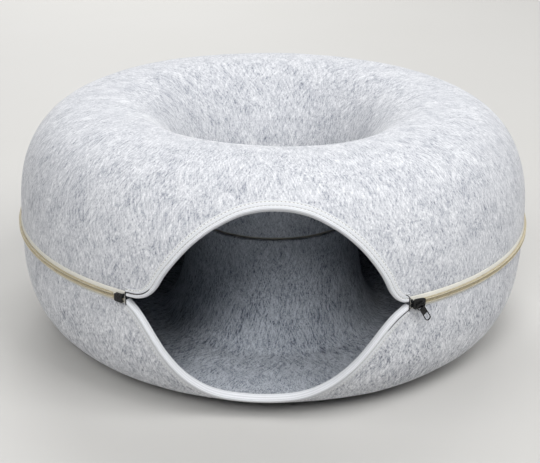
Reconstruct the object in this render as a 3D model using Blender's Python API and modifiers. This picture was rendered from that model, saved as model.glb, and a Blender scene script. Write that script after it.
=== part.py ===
"""Ring-shaped felt tunnel bed for a cat, made of two moulded felt half shells.

The upper and lower shell are half rings that meet at a parting plane half way up. Two
separating zips join them: one round the outside, from corner to corner of the mouth,
and one round the hole in the middle. Each zip has two tapes, two coils, a slider with
its pull, a retainer box with its pin, and two end stops. A folded binding covers the
cut edge of the mouth on each shell.

Metres, +Z up, the mouth towards -Y. Angles are measured round the ring's own axis from
-Y towards +X. Heights inside the functions are measured from the parting plane.
"""
import math

import bmesh
import bpy
from mathutils import Matrix, Vector

# The ring's axis stands this far in front of the footprint's middle, as the mouth takes
# the foremost part of the ring away
AXIS_FORWARD = 0.0082

# Felt shells
OUTER_RADIUS = 0.2475
HOLE_RADIUS = 0.0805
UPPER_HEIGHT = 0.1115
LOWER_HEIGHT = 0.113
CROWN_RADIUS = 0.156
FOOT_OUTER_RADIUS = 0.143
FOOT_INNER_RADIUS = 0.116
FELT_THICKNESS = 0.004
OUTER_RIM_RECESS = 0.005
INNER_RIM_RECESS = 0.0042

# Roundness of the section: 2 is an ellipse, more is squarer
UPPER_OUTER_ROUNDNESS = 2.58
LOWER_OUTER_ROUNDNESS = 3.1
INNER_ROUNDNESS = 2.05

# Mouth of the tunnel, at the cut edge of the felt: the felt left above it to the crown,
# and the felt left below it to the floor
MOUTH_HALF_WIDTH = 0.118
MOUTH_BRIDGE_HEIGHT = 0.026
MOUTH_SILL_HEIGHT = 0.0211
MOUTH_CORNER_HEIGHT = 0.0024
# The soft arches stand off the middle by this much, the upper one to +X and the lower one
# to -X; a higher fullness carries the offset further out towards the corners
UPPER_MOUTH_OFFSET = 0.0062
UPPER_OFFSET_FULLNESS = 8
LOWER_MOUTH_OFFSET = 0.008
LOWER_OFFSET_FULLNESS = 2
# Points of half the outline: across as a share of the half width, up as a share of the rise
UPPER_MOUTH_SHARES = (
    (0.0, 1.0), (0.13, 0.986), (0.265, 0.936), (0.40, 0.84), (0.503, 0.74), (0.607, 0.605),
    (0.70, 0.445), (0.777, 0.282), (0.828, 0.14), (0.877, 0.052), (0.935, 0.007), (1.0, 0.0),
)
LOWER_MOUTH_SHARES = (
    (0.0, 1.0), (0.13, 0.99), (0.258, 0.963), (0.361, 0.909), (0.439, 0.844), (0.53, 0.75),
    (0.615, 0.636), (0.70, 0.50), (0.78, 0.345), (0.85, 0.205), (0.92, 0.09), (1.0, 0.0),
)

# Binding folded over the mouth's cut edge
BINDING_WIDTH = 0.0075
BINDING_THICKNESS = 0.0006
BINDING_GAP = 0.0005

# Zips
TAPE_THICKNESS = 0.0008
TAPE_WIDTH = 0.0155
PARTING_GAP = 0.0006
TAPE_STANDS_IN = 0.0003
COIL_WIDTH = 0.0025
COIL_THICKNESS = 0.0024
STOP_LENGTH = 0.0022
BOX_LENGTH = 0.0088
BOX_WALL = 0.001
INNER_ZIP_END_ANGLE = math.radians(184.0)

# Slider and pull
SLIDER_LENGTH = 0.0122
SLIDER_PLATE = 0.0012
SLIDER_WIDTH = 0.0102
SLIDER_NARROWING_SHARE = 0.14
SLIDER_CORNER = 0.0016
SLIDER_FLANGE = 0.0009
SLIDER_BACK_WIDTH = 0.0068
SLIDER_WEB_LENGTH = 0.004
SLIDER_GAP = 0.0006
SLIDER_LIP_GAP = 0.0005
CROWN_LENGTH = 0.006
CROWN_PLACE_SHARE = 0.43
CROWN_WIDTH = 0.0011
CROWN_METAL = 0.0008
CROWN_ROOM = 0.0019
PULL_LENGTH = 0.0205
PULL_THICKNESS = 0.001
PULL_NECK_WIDTH = 0.0078
PULL_TIP_WIDTH = 0.0056
PULL_RIM = 0.0008
PULL_CROWN_SLOT = 0.0042
PULL_TIP_SLOT = 0.0072
PULL_DROP_ANGLE = math.radians(57.0)

# Clearances and fineness
TOUCH_GAP = 0.0003
CUT_OVERRUN = 0.01
RING_STEPS = 60
OUTER_SECTION_STEPS = 9
INNER_SECTION_STEPS = 5
SPAN_STEPS = 2
ARC_STEPS = 8
CORNER_STEPS = 3
WRAP_STEP = 0.0031
WELD = 1e-6

# Worked out from the sizes above
FACET_ANGLE = 2 * math.pi / RING_STEPS


def quarter(radius_from, radius_to, full_height, roundness, start_height, steps):
    """Return section points from a rim at start_height to the full height, as (r, h)."""
    points = []
    start = math.asin((start_height / full_height) ** (roundness / 2))
    for step in range(steps + 1):
        angle = start + (math.pi / 2 - start) * step / steps
        reach = math.cos(angle) ** (2 / roundness) if step < steps else 0.0
        height = full_height * math.sin(angle) ** (2 / roundness)
        points.append((radius_to + (radius_from - radius_to) * reach, height))
    return points


def shell_section(upper):
    """Return the shell's outside from the outer rim over to the hole's rim, as (r, h)."""
    outer_end = CROWN_RADIUS if upper else FOOT_OUTER_RADIUS
    inner_end = CROWN_RADIUS if upper else FOOT_INNER_RADIUS
    height = UPPER_HEIGHT if upper else LOWER_HEIGHT
    roundness = UPPER_OUTER_ROUNDNESS if upper else LOWER_OUTER_ROUNDNESS
    outer = quarter(OUTER_RADIUS, outer_end, height, roundness, MOUTH_CORNER_HEIGHT,
                    OUTER_SECTION_STEPS)
    inner = quarter(HOLE_RADIUS, inner_end, height, INNER_ROUNDNESS, INNER_RIM_RECESS,
                    INNER_SECTION_STEPS)
    inner.reverse()
    return outer + inner[1 if upper else 0:]


def radius_at(section, height):
    """Return the radius of a rising run of section points at a height, between points."""
    for (r_low, h_low), (r_high, h_high) in zip(section, section[1:]):
        if h_low <= height <= h_high and h_high > h_low:
            return r_low + (r_high - r_low) * (height - h_low) / (h_high - h_low)
    return section[0][0]


def slope_at(section, height, reach):
    """Return how fast the radius changes with height, over a stretch of the section."""
    low = max(section[0][1], height - reach)
    high = min(section[-1][1], height + reach)
    return (radius_at(section, high) - radius_at(section, low)) / (high - low)


def outward_at(angle):
    """Return the level direction away from the axis at an angle from -Y towards +X."""
    return Vector((math.sin(angle), -math.cos(angle), 0))


def on_ring(radius, angle, height):
    """Return a point on the turned rings' flat facets at a radius, angle and height."""
    off_middle = (angle % FACET_ANGLE) - FACET_ANGLE / 2
    drawn_in = math.cos(FACET_ANGLE / 2) / math.cos(off_middle)
    return outward_at(angle) * radius * drawn_in + Vector((0, 0, height))


def smooth_through(points, steps):
    """Return points on a Catmull-Rom curve through the given ones."""
    padded = [points[0]] + list(points) + [points[-1]]
    curve = []
    for p0, p1, p2, p3 in zip(padded, padded[1:], padded[2:], padded[3:]):
        for step in range(steps):
            t = step / steps
            curve.append(tuple(
                0.5 * (2 * b + (c - a) * t + (2 * a - 5 * b + 4 * c - d) * t * t
                       + (3 * b - a - 3 * c + d) * t * t * t)
                for a, b, c, d in zip(p0, p1, p2, p3)))
    curve.append(points[-1])
    return curve


def mouth_outline(upper):
    """Return the mouth's cut edge on one shell as (across, height), left to right."""
    shares = UPPER_MOUTH_SHARES if upper else LOWER_MOUTH_SHARES
    furthest = UPPER_HEIGHT - MOUTH_BRIDGE_HEIGHT if upper else LOWER_HEIGHT - MOUTH_SILL_HEIGHT
    rise = furthest - MOUTH_CORNER_HEIGHT
    offset = UPPER_MOUTH_OFFSET if upper else -LOWER_MOUTH_OFFSET
    fullness = UPPER_OFFSET_FULLNESS if upper else LOWER_OFFSET_FULLNESS
    whole = [(-across, up) for across, up in reversed(shares[1:])] + list(shares)
    points = [(across * MOUTH_HALF_WIDTH + offset * (1 - abs(across) ** fullness),
               MOUTH_CORNER_HEIGHT + up * rise) for across, up in whole]
    return smooth_through(points, SPAN_STEPS)


def surface_frame(upper, angle, height):
    """Return (point, outward) on the outside of one shell at an angle and a height."""
    section = shell_section(upper)[:OUTER_SECTION_STEPS + 1]
    side = 1 if upper else -1
    slope = slope_at(section, height, FELT_THICKNESS)
    point = on_ring(radius_at(section, height), angle, side * height)
    return point, (outward_at(angle) - Vector((0, 0, side * slope))).normalized()


def mouth_frames(upper):
    """Return (point, outward, into the felt) along the mouth's edge on the shell's outside."""
    section = shell_section(upper)[:OUTER_SECTION_STEPS + 1]
    side = 1 if upper else -1
    surface = [surface_frame(upper, math.asin(across / radius_at(section, height)), height)
               for across, height in mouth_outline(upper)]
    frames = []
    for index, (point, outward) in enumerate(surface):
        ahead = surface[min(index + 1, len(surface) - 1)][0]
        behind = surface[max(index - 1, 0)][0]
        frames.append((point, outward, (outward.cross(ahead - behind) * side).normalized()))
    return frames


def new_collection(name):
    """Add a collection to the scene and return it."""
    collection = bpy.data.collections.new(name)
    bpy.context.scene.collection.children.link(collection)
    return collection


def material(name, color, roughness, metallic=0.0):
    """Return a Principled material of one plain colour."""
    made = bpy.data.materials.new(name)
    made.use_nodes = True
    shader = made.node_tree.nodes["Principled BSDF"]
    shader.inputs["Base Color"].default_value = (*color, 1.0)
    shader.inputs["Roughness"].default_value = roughness
    shader.inputs["Metallic"].default_value = metallic
    return made


def empty(name, location, parent=None):
    """Add an empty that carries one group of pieces."""
    made = bpy.data.objects.new(name, None)
    made.location = location
    made.parent = parent
    bpy.context.scene.collection.objects.link(made)
    return made


def mesh_object(name, bm, collection, parent, surface=None):
    """Turn a bmesh into an object, shade it smooth with sharp edges, and place it."""
    mesh = bpy.data.meshes.new(name)
    bm.to_mesh(mesh)
    bm.free()
    mesh.shade_smooth()
    mesh.set_sharp_from_angle(angle=math.radians(35.0))
    made = bpy.data.objects.new(name, mesh)
    if surface:
        mesh.materials.append(surface)
    made.parent = parent
    collection.objects.link(made)
    return made


def as_cutter(made):
    """Mark an object as a guide that is neither rendered nor built."""
    made.hide_render = True
    made.display_type = "WIRE"
    return made


def boolean(target, other, operation):
    """Add an exact Boolean modifier to the target and return it."""
    modifier = target.modifiers.new(other.name, "BOOLEAN")
    modifier.object = other
    modifier.operation = operation
    modifier.solver = "EXACT"
    return modifier


def profile(points, closed):
    """Return a bmesh holding a chain of edges through (r, h) points, at +X."""
    bm = bmesh.new()
    verts = [bm.verts.new((radius, 0.0, height)) for radius, height in points]
    for first, second in zip(verts, verts[1:]):
        bm.edges.new((first, second))
    if closed:
        bm.edges.new((verts[-1], verts[0]))
    return bm


def turned(name, points, closed, parent, surface):
    """Turn a profile, running down its outer side, once round the axis."""
    ring = mesh_object(name, profile(points, closed), PARTS, parent, surface)
    screw = ring.modifiers.new("turn", "SCREW")
    screw.steps = screw.render_steps = RING_STEPS
    screw.use_merge_vertices = True
    screw.merge_threshold = WELD
    screw.use_smooth_shade = True
    return ring


def ring_sector(section, start, sweep):
    """Return a bmesh of a closed (r, h) section swept about the axis from start by sweep."""
    bm = bmesh.new()
    corners = [bm.verts.new(outward_at(start) * radius + Vector((0, 0, height)))
               for radius, height in section]
    face = bm.faces.new(corners)
    bmesh.ops.spin(bm, geom=[face, *face.edges, *face.verts], cent=(0, 0, 0), axis=(0, 0, 1),
                   angle=sweep, steps=RING_STEPS, use_duplicate=False)
    bmesh.ops.remove_doubles(bm, verts=bm.verts, dist=WELD)
    bmesh.ops.recalc_face_normals(bm, faces=bm.faces)
    return bm


def wedge(name, start, end):
    """Return a cutter with its edge on the axis that clears a ring between two angles."""
    reach = 2 * OUTER_RADIUS
    corners = [Vector((0, 0, 0)), outward_at(start) * reach, outward_at(end) * reach]
    rise = Vector((0, 0, 2 * TAPE_WIDTH))
    bm = loft([[corner - rise for corner in corners], [corner + rise for corner in corners]])
    return as_cutter(mesh_object(name, bm, CUTTERS, PARTING))


def rectangle(r_low, r_high, h_low, h_high):
    """Return a rectangular (r, h) section."""
    return [(r_high, h_high), (r_high, h_low), (r_low, h_low), (r_low, h_high)]


def loft(sections, cap_end=True):
    """Return a bmesh that joins rings of points into one solid; an edge needs no end cap."""
    bm = bmesh.new()
    rings = [[bm.verts.new(point) for point in section] for section in sections]
    for first, second in zip(rings, rings[1:]):
        count = len(first)
        for index in range(count):
            after = (index + 1) % count
            bm.faces.new((first[index], first[after], second[after], second[index]))
    bm.faces.new(rings[0])
    if cap_end:
        bm.faces.new(rings[-1])
    bmesh.ops.remove_doubles(bm, verts=bm.verts, dist=WELD)
    bmesh.ops.recalc_face_normals(bm, faces=bm.faces)
    return bm


def block(along, across, out, narrowing=0.0, corner=0.0):
    """Return a flat block between (low, high) pairs, with rounded upright corners."""
    spans = (along, across, out)
    size = Vector([high - low for low, high in spans])
    middle = Vector([(high + low) / 2 for low, high in spans])
    bm = bmesh.new()
    bmesh.ops.create_cube(bm, size=1.0, matrix=Matrix.LocRotScale(middle, None, size))
    for vert in bm.verts:
        if vert.co.x > middle.x:
            vert.co.y = middle.y + (vert.co.y - middle.y) * (1 - narrowing)
    if corner:
        upright = [edge for edge in bm.edges
                   if abs(edge.verts[0].co.z - edge.verts[1].co.z) > size.z / 2]
        bmesh.ops.bevel(bm, geom=upright, offset=corner, segments=CORNER_STEPS,
                        affect="EDGES", profile=0.5)
    return bm


def fused(name, solids):
    """Join overlapping flat bmeshes into one closed bmesh."""
    pieces = [mesh_object(f"{name}_stock_{index}", bm, CUTTERS, None)
              for index, bm in enumerate(solids)]
    for other in pieces[1:]:
        boolean(pieces[0], other, "UNION")
    evaluated = pieces[0].evaluated_get(bpy.context.evaluated_depsgraph_get())
    bm = bmesh.new()
    bm.from_mesh(evaluated.to_mesh())
    evaluated.to_mesh_clear()
    for piece in pieces:
        bpy.data.objects.remove(piece)
    bmesh.ops.remove_doubles(bm, verts=bm.verts, dist=WELD)
    return bm


def mouth_cutter(upper):
    """Return the cutter that opens the mouth in one shell, square to the felt."""
    frames = mouth_frames(upper)
    side = 1 if upper else -1
    past = Vector((0, 0, -side * (MOUTH_CORNER_HEIGHT + PARTING_GAP)))
    depths = (MOUTH_HALF_WIDTH, 0.0, -FELT_THICKNESS, -FELT_THICKNESS - CUT_OVERRUN)
    rungs = []
    for left in range(len(frames) // 2 + 1):
        right = len(frames) - 1 - left
        rung = [frames[left][0] + frames[left][1] * depth for depth in depths]
        rung += [frames[right][0] + frames[right][1] * depth for depth in reversed(depths)]
        rungs.append(rung)
    rungs.insert(0, [corner + past for corner in rungs[0]])
    name = "upper_mouth_cut" if upper else "lower_mouth_cut"
    return as_cutter(mesh_object(name, loft(rungs, cap_end=False), CUTTERS, PARTING))


def rim_cutter():
    """Return the ring that sets both shells' rims back where the outer zip runs."""
    section = rectangle(OUTER_RADIUS - FELT_THICKNESS - CUT_OVERRUN, OUTER_RADIUS + CUT_OVERRUN,
                        -OUTER_RIM_RECESS, OUTER_RIM_RECESS)
    start = mouth_corner_angle() + TOUCH_GAP / OUTER_RADIUS
    bm = ring_sector(section, start, 2 * (math.pi - start))
    return as_cutter(mesh_object("rim_cut", bm, CUTTERS, PARTING))


def mouth_corner_angle():
    """Return the angle of the mouth's corner round the axis."""
    return math.asin(MOUTH_HALF_WIDTH / OUTER_RADIUS)


def build_shell(upper, rim_cut):
    """Build one felt half shell with its mouth and its set-back rim."""
    side = 1 if upper else -1
    points = [(radius, side * height) for radius, height in shell_section(upper)]
    if upper:
        points.reverse()
    name = "upper_shell" if upper else "lower_shell"
    shell = turned(name, points, False, UPPER_HALF if upper else PARTING, FELT)
    solid = shell.modifiers.new("felt", "SOLIDIFY")
    solid.thickness = FELT_THICKNESS
    solid.offset = -1.0
    solid.use_even_offset = True
    boolean(shell, rim_cut, "DIFFERENCE")
    boolean(shell, mouth_cutter(upper), "DIFFERENCE").use_self = True
    return shell


def build_binding(upper):
    """Build the folded binding that follows the felt on both sides of the mouth's edge."""
    out_low = BINDING_GAP
    out_high = BINDING_GAP + BINDING_THICKNESS
    in_high = -FELT_THICKNESS - BINDING_GAP
    in_low = in_high - BINDING_THICKNESS
    sections = []
    corner = mouth_corner_angle()
    for point, outward, inward in mouth_frames(upper):
        hems = []
        for share in (1.0, 0.5):
            spot = point + inward * BINDING_WIDTH * share
            angle = max(-corner, min(corner, math.atan2(spot.x, -spot.y)))
            hems.append(surface_frame(upper, angle, abs(spot.z)))
        (far, far_out), (middle, middle_out) = hems
        gap = inward * BINDING_GAP
        fold = inward * (BINDING_GAP + BINDING_THICKNESS)
        sections.append([
            far + far_out * out_low, far + far_out * out_high, middle + middle_out * out_high,
            point + outward * out_high - gap, point + outward * out_low - fold,
            point + outward * in_high - fold, point + outward * in_low - gap,
            middle + middle_out * in_low, far + far_out * in_low, far + far_out * in_high,
            middle + middle_out * in_high, point + outward * in_high - gap,
            point + outward * out_low - gap, middle + middle_out * out_low,
        ])
    name = "upper_mouth_binding" if upper else "lower_mouth_binding"
    return mesh_object(name, loft(sections), PARTS, UPPER_HALF if upper else PARTING, BINDING)


class Zip:
    """A separating zip that runs round the axis, with its face away from the felt.

    Its small pieces are shaped flat, as lengths along the tape from the parked end, across
    it (upwards) and out from its middle, and are then wrapped round the axis.
    """

    def __init__(self, name, tape_radius, face, start, sweep):
        """Keep the zip's name, tape radius, facing (1 out, -1 in) and its run."""
        self.name = name
        self.tape_radius = tape_radius
        self.face = face
        self.start = start
        self.sweep = sweep
        self.length = sweep * tape_radius
        self.chain = (TAPE_THICKNESS / 2 + TOUCH_GAP, TAPE_THICKNESS / 2 + TOUCH_GAP + COIL_THICKNESS)
        self.coil_edge = PARTING_GAP + COIL_WIDTH

    def wrap(self, name, bm, parent, surface):
        """Wrap a flat bmesh round the axis and place it as a piece."""
        low = min(vert.co.x for vert in bm.verts)
        high = max(vert.co.x for vert in bm.verts)
        cuts = math.ceil((high - low) / WRAP_STEP)
        for cut in range(1, cuts):
            spot = Vector((low + (high - low) * cut / cuts, 0, 0))
            bmesh.ops.bisect_plane(bm, geom=[*bm.verts, *bm.edges, *bm.faces], dist=WELD,
                                   plane_co=spot, plane_no=(1, 0, 0))
        for vert in bm.verts:
            along, across, out = vert.co
            vert.co = on_ring(self.tape_radius + self.face * out,
                              self.start + along / self.tape_radius, across)
        if self.face < 0:
            bmesh.ops.reverse_faces(bm, faces=bm.faces)
        return mesh_object(f"{self.name}_{name}", bm, PARTS, parent, surface)

    def clear(self, ring, low, high):
        """Cut the part of a ring away that is not between two lengths along the tape."""
        end = self.start + low / self.tape_radius
        start = self.start + high / self.tape_radius - 2 * math.pi
        boolean(ring, wedge(f"{ring.name}_clearing", start, end), "DIFFERENCE")

    def build_tapes(self, upper_section, lower_section):
        """Build both tapes from their (r, h) sections."""
        halves = (("upper_tape", upper_section, UPPER_HALF), ("lower_tape", lower_section, PARTING))
        for name, section, parent in halves:
            tape = turned(f"{self.name}_{name}", section, True, parent, TAPE)
            self.clear(tape, 0.0, self.length)

    def build_chain(self):
        """Build the coils, the end stops, the retainer box and its pin."""
        box_start = self.length - BOX_LENGTH - TOUCH_GAP
        stop = (TOUCH_GAP, TOUCH_GAP + STOP_LENGTH)
        radii = sorted(self.tape_radius + self.face * out for out in self.chain)
        for half, side, parent in (("upper", 1, UPPER_HALF), ("lower", -1, PARTING)):
            across = sorted((side * PARTING_GAP, side * self.coil_edge))
            self.wrap(f"{half}_stop", block(stop, across, self.chain), parent, METAL)
            section = rectangle(*radii, *across)
            coil = turned(f"{self.name}_{half}_coil", section, True, parent, COIL)
            end = box_start if half == "upper" else self.length
            self.clear(coil, stop[1] + TOUCH_GAP, end - TOUCH_GAP)
        pin = block((box_start, self.length - TOUCH_GAP), (PARTING_GAP, self.coil_edge), self.chain)
        self.wrap("pin", pin, UPPER_HALF, METAL)
        self.build_box(box_start)

    def channel(self, span, width, plate, web_length, narrowing, corner):
        """Return the blocks of a channel that holds the lower coil and is open at the top."""
        low, high = span
        face_low = self.chain[1] + SLIDER_GAP
        back_high = -TAPE_THICKNESS / 2 - SLIDER_GAP
        flange_in = self.coil_edge + TOUCH_GAP
        web = PARTING_GAP - TOUCH_GAP
        middle_of_plate = face_low + plate / 2
        back = SLIDER_BACK_WIDTH / 2
        return [
            block(span, (-width / 2, width / 2), (face_low, face_low + plate), narrowing, corner),
            block((low + plate / 2, high - plate / 2), (-flange_in - SLIDER_FLANGE, -flange_in),
                  (TAPE_THICKNESS / 2 + SLIDER_LIP_GAP, middle_of_plate)),
            block(span, (-back, back), (back_high - plate, back_high), 0.0, corner / 2),
            block((low + plate / 2, low + web_length), (-web, web),
                  (back_high - plate / 2, middle_of_plate)),
        ]

    def build_box(self, start):
        """Build the retainer box at the far end, on the lower tape."""
        width = 2 * (self.coil_edge + 2 * TOUCH_GAP + SLIDER_FLANGE)
        solids = self.channel((start, start + BOX_LENGTH), width, BOX_WALL,
                              BOX_LENGTH - BOX_WALL / 2, 0.0, BOX_WALL / 2)
        self.wrap("box", fused("box", solids), PARTING, PLASTIC)

    def build_slider(self):
        """Build the slider at its parked end, with its crown, and its pull."""
        start = STOP_LENGTH / 2
        middle = start + SLIDER_LENGTH * CROWN_PLACE_SHARE
        solids = self.channel((start, start + SLIDER_LENGTH), SLIDER_WIDTH, SLIDER_PLATE,
                              SLIDER_WEB_LENGTH, SLIDER_NARROWING_SHARE, SLIDER_CORNER)
        plate_top = self.chain[1] + SLIDER_GAP + SLIDER_PLATE
        inside = plate_top + CROWN_ROOM
        across = (-CROWN_WIDTH / 2, CROWN_WIDTH / 2)
        ends = (middle - CROWN_LENGTH / 2, middle + CROWN_LENGTH / 2)
        for leg in ((ends[0], ends[0] + CROWN_METAL), (ends[1] - CROWN_METAL, ends[1])):
            solids.append(block(leg, across, (plate_top - SLIDER_PLATE / 2, inside + CROWN_METAL / 2)))
        solids.append(block(ends, across, (inside, inside + CROWN_METAL)))
        axis = empty(f"{self.name}_slider_axis", (0, 0, 0), PARTING)
        self.wrap("slider", fused("slider", solids), axis, PLASTIC)
        self.build_pull(self.start + middle / self.tape_radius, plate_top + CROWN_ROOM / 2, axis)

    def build_pull(self, angle, lift, parent):
        """Build the pull, hooked under the crown and hanging along the felt."""
        outward = outward_at(angle) * self.face
        along = Vector((math.cos(angle), math.sin(angle), 0))
        down = along * math.cos(PULL_DROP_ANGLE) - Vector((0, 0, math.sin(PULL_DROP_ANGLE)))
        turn = Matrix((down, outward.cross(down), outward)).transposed()
        pull = mesh_object(f"{self.name}_pull", pull_plate(self.name), PARTS, parent, PLASTIC)
        pull.location = on_ring(self.tape_radius + self.face * lift, angle, 0)
        pull.rotation_euler = turn.to_euler()


def rounded_outline(start, end, half_width):
    """Return a closed outline along X from start to end with a round far end."""
    outline = [(start, -half_width), (end - half_width, -half_width)]
    for step in range(1, ARC_STEPS):
        angle = -math.pi / 2 + math.pi * step / ARC_STEPS
        outline.append((end - half_width + half_width * math.cos(angle),
                        half_width * math.sin(angle)))
    outline += [(end - half_width, half_width), (start, half_width)]
    return outline


def pull_plate(name):
    """Return a bmesh of the flat pull: a loop for the crown, a neck, and a slotted tip."""
    bar = PULL_RIM / 2
    slot_start = bar
    slot_end = slot_start + PULL_CROWN_SLOT
    tip_end = PULL_LENGTH - PULL_RIM
    neck = PULL_NECK_WIDTH / 2
    tip = PULL_TIP_WIDTH / 2
    outline = rounded_outline(slot_end + PULL_RIM, PULL_LENGTH - bar, tip)
    outline = [(-bar, -neck), (slot_end, -neck)] + outline + [(slot_end, neck), (-bar, neck)]
    crown_slot = [(slot_start, -neck + PULL_RIM), (slot_end, -neck + PULL_RIM),
                  (slot_end, neck - PULL_RIM), (slot_start, neck - PULL_RIM)]
    tip_slot = rounded_outline(tip_end - bar - PULL_TIP_SLOT, tip_end - bar, tip - PULL_RIM)
    curve = bpy.data.curves.new(f"{name}_pull_outline", "CURVE")
    curve.dimensions = "2D"
    curve.fill_mode = "BOTH"
    curve.extrude = PULL_THICKNESS / 2
    for points in (outline, crown_slot, tip_slot):
        spline = curve.splines.new("POLY")
        spline.points.add(len(points) - 1)
        for spot, (along, across) in zip(spline.points, points):
            spot.co = (along, across, 0.0, 1.0)
        spline.use_cyclic_u = True
    stock = bpy.data.objects.new(f"{name}_pull_stock", curve)
    CUTTERS.objects.link(stock)
    evaluated = stock.evaluated_get(bpy.context.evaluated_depsgraph_get())
    mesh = bpy.data.meshes.new_from_object(evaluated)
    bm = bmesh.new()
    bm.from_mesh(mesh)
    bpy.data.objects.remove(stock)
    bpy.data.meshes.remove(mesh)
    bmesh.ops.remove_doubles(bm, verts=bm.verts, dist=WELD)
    bmesh.ops.recalc_face_normals(bm, faces=bm.faces)
    return bm


def mirrored(section):
    """Return an (r, h) section turned upside down about the parting plane."""
    return [(radius, -height) for radius, height in reversed(section)]


def build_outer_zip():
    """Build the zip round the outside, from the mouth's right corner to its left one."""
    tape_radius = OUTER_RADIUS - TAPE_STANDS_IN
    start = mouth_corner_angle() + 2 * TOUCH_GAP / OUTER_RADIUS
    zipper = Zip("outer", tape_radius, 1, start, 2 * (math.pi - start))
    outer = tape_radius + TAPE_THICKNESS / 2
    inner = tape_radius - TAPE_THICKNESS / 2
    bend = OUTER_RIM_RECESS - TOUCH_GAP
    sections = []
    for upper in (True, False):
        wall = shell_section(upper)[:OUTER_SECTION_STEPS + 1]
        behind = [(radius_at(wall, height) - FELT_THICKNESS - 2 * TOUCH_GAP, height)
                  for height in (TAPE_WIDTH + PARTING_GAP, bend)]
        section = behind + [
            (outer, bend), (outer, PARTING_GAP), (inner, PARTING_GAP),
            (inner, bend - TAPE_THICKNESS), (behind[1][0] - TAPE_THICKNESS, bend - TAPE_THICKNESS),
            (behind[0][0] - TAPE_THICKNESS, behind[0][1]),
        ]
        sections.append(section if upper else mirrored(section))
    zipper.build_tapes(*sections)
    zipper.build_chain()
    zipper.build_slider()


def build_inner_zip():
    """Build the zip round the hole, sewn to the hole's side of both shells."""
    tape_radius = HOLE_RADIUS - TOUCH_GAP - TAPE_THICKNESS / 2
    zipper = Zip("inner", tape_radius, -1, INNER_ZIP_END_ANGLE,
                 2 * math.pi - 2 * (INNER_ZIP_END_ANGLE - math.pi))
    sections = []
    for upper in (True, False):
        wall = list(reversed(shell_section(upper)))[:INNER_SECTION_STEPS + 1]
        heights = (PARTING_GAP, TAPE_WIDTH / 2, TAPE_WIDTH + PARTING_GAP)
        near = [(radius_at(wall, height) - TOUCH_GAP, height) for height in heights]
        far = [(radius - TAPE_THICKNESS, height) for radius, height in near]
        section = list(reversed(near)) + far
        sections.append(section if upper else mirrored(section))
    zipper.build_tapes(*sections)
    zipper.build_chain()
    zipper.build_slider()


for leftover in list(bpy.data.objects):
    bpy.data.objects.remove(leftover)

PARTS = new_collection("felt_tunnel_cat_bed")
CUTTERS = new_collection("cutters")
PARTING = empty("parting_plane", (0, -AXIS_FORWARD, LOWER_HEIGHT))
UPPER_HALF = empty("upper_half", (0, 0, 0), PARTING)
FELT = material("moulded_felt", (0.62, 0.64, 0.68), 0.95)
BINDING = material("woven_binding", (0.86, 0.86, 0.84), 0.85)
TAPE = material("zip_tape", (0.72, 0.68, 0.60), 0.9)
COIL = material("nylon_coil", (0.60, 0.55, 0.45), 0.5)
PLASTIC = material("black_lacquer", (0.02, 0.02, 0.022), 0.35)
METAL = material("crimped_metal", (0.03, 0.03, 0.032), 0.4, 1.0)

RIM_CUT = rim_cutter()
for is_upper in (True, False):
    build_shell(is_upper, RIM_CUT)
    build_binding(is_upper)
build_outer_zip()
build_inner_zip()
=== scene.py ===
"""Looks of a felt tunnel bed for a cat: two moulded half shells, their zips and bindings.

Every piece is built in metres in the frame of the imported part, with +Z up and the mouth
towards -Y. Angles run round the ring's own axis from -Y towards +X, and heights are
measured up or down from the parting plane between the two shells.
"""
import logging
import math
from dataclasses import dataclass
from enum import Enum
from typing import Any, Callable, Iterable, Optional, Sequence

import bpy
import numpy as np
from mathutils import Matrix, Vector, kdtree, noise

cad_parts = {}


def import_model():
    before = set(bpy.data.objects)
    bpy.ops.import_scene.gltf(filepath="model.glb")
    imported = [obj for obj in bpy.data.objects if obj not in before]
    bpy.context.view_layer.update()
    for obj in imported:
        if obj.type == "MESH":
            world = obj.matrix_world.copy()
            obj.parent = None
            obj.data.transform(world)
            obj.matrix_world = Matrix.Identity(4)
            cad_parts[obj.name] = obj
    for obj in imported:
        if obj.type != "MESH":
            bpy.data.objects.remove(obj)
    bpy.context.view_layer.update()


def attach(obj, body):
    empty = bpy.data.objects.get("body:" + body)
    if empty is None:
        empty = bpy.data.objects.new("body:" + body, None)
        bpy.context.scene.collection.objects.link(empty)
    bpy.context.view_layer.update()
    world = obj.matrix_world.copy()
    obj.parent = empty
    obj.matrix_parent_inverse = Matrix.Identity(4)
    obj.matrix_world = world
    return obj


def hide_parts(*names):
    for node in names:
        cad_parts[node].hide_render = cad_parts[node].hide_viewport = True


LOG = logging.getLogger("felt_tunnel_bed")
MILLIMETRE = 0.001

Pair = tuple[float, float]
Frame = tuple[Vector, Vector, Vector]
Tree = bpy.types.NodeTree
Socket = bpy.types.NodeSocket
FIBRE_NOISE = {"Detail": 3.0, "Roughness": 0.65}


class Half(Enum):
    """One of the two shells, with the side of the parting plane that it lies on."""

    UPPER = 1
    LOWER = -1

    @property
    def word(self) -> str:
        """Return the half's name as piece names have it."""
        return self.name.lower()

    @property
    def body(self) -> str:
        """Return the body of the frame that the half's pieces ride on."""
        return f"{self.word}_half"


class Slot(Enum):
    """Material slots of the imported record."""

    FELT = "moulded_felt"
    BINDING = "woven_binding"
    TAPE = "zip_tape"
    COIL = "nylon_coil"
    LACQUER = "black_lacquer"
    METAL = "crimped_metal"


# Colours and material nodes


def linear(code: str) -> tuple[float, float, float, float]:
    """Turn an sRGB hex colour into linear RGBA.

    Args:
        code: six hex digits, with or without a leading #.

    Returns:
        The linear red, green, blue and an alpha of 1.
    """
    digits = code.lstrip("#")
    channels = [int(digits[place:place + 2], 16) / 255 for place in (0, 2, 4)]
    bright = [c / 12.92 if c <= 0.04045 else ((c + 0.055) / 1.055) ** 2.4 for c in channels]
    return (bright[0], bright[1], bright[2], 1.0)


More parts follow.
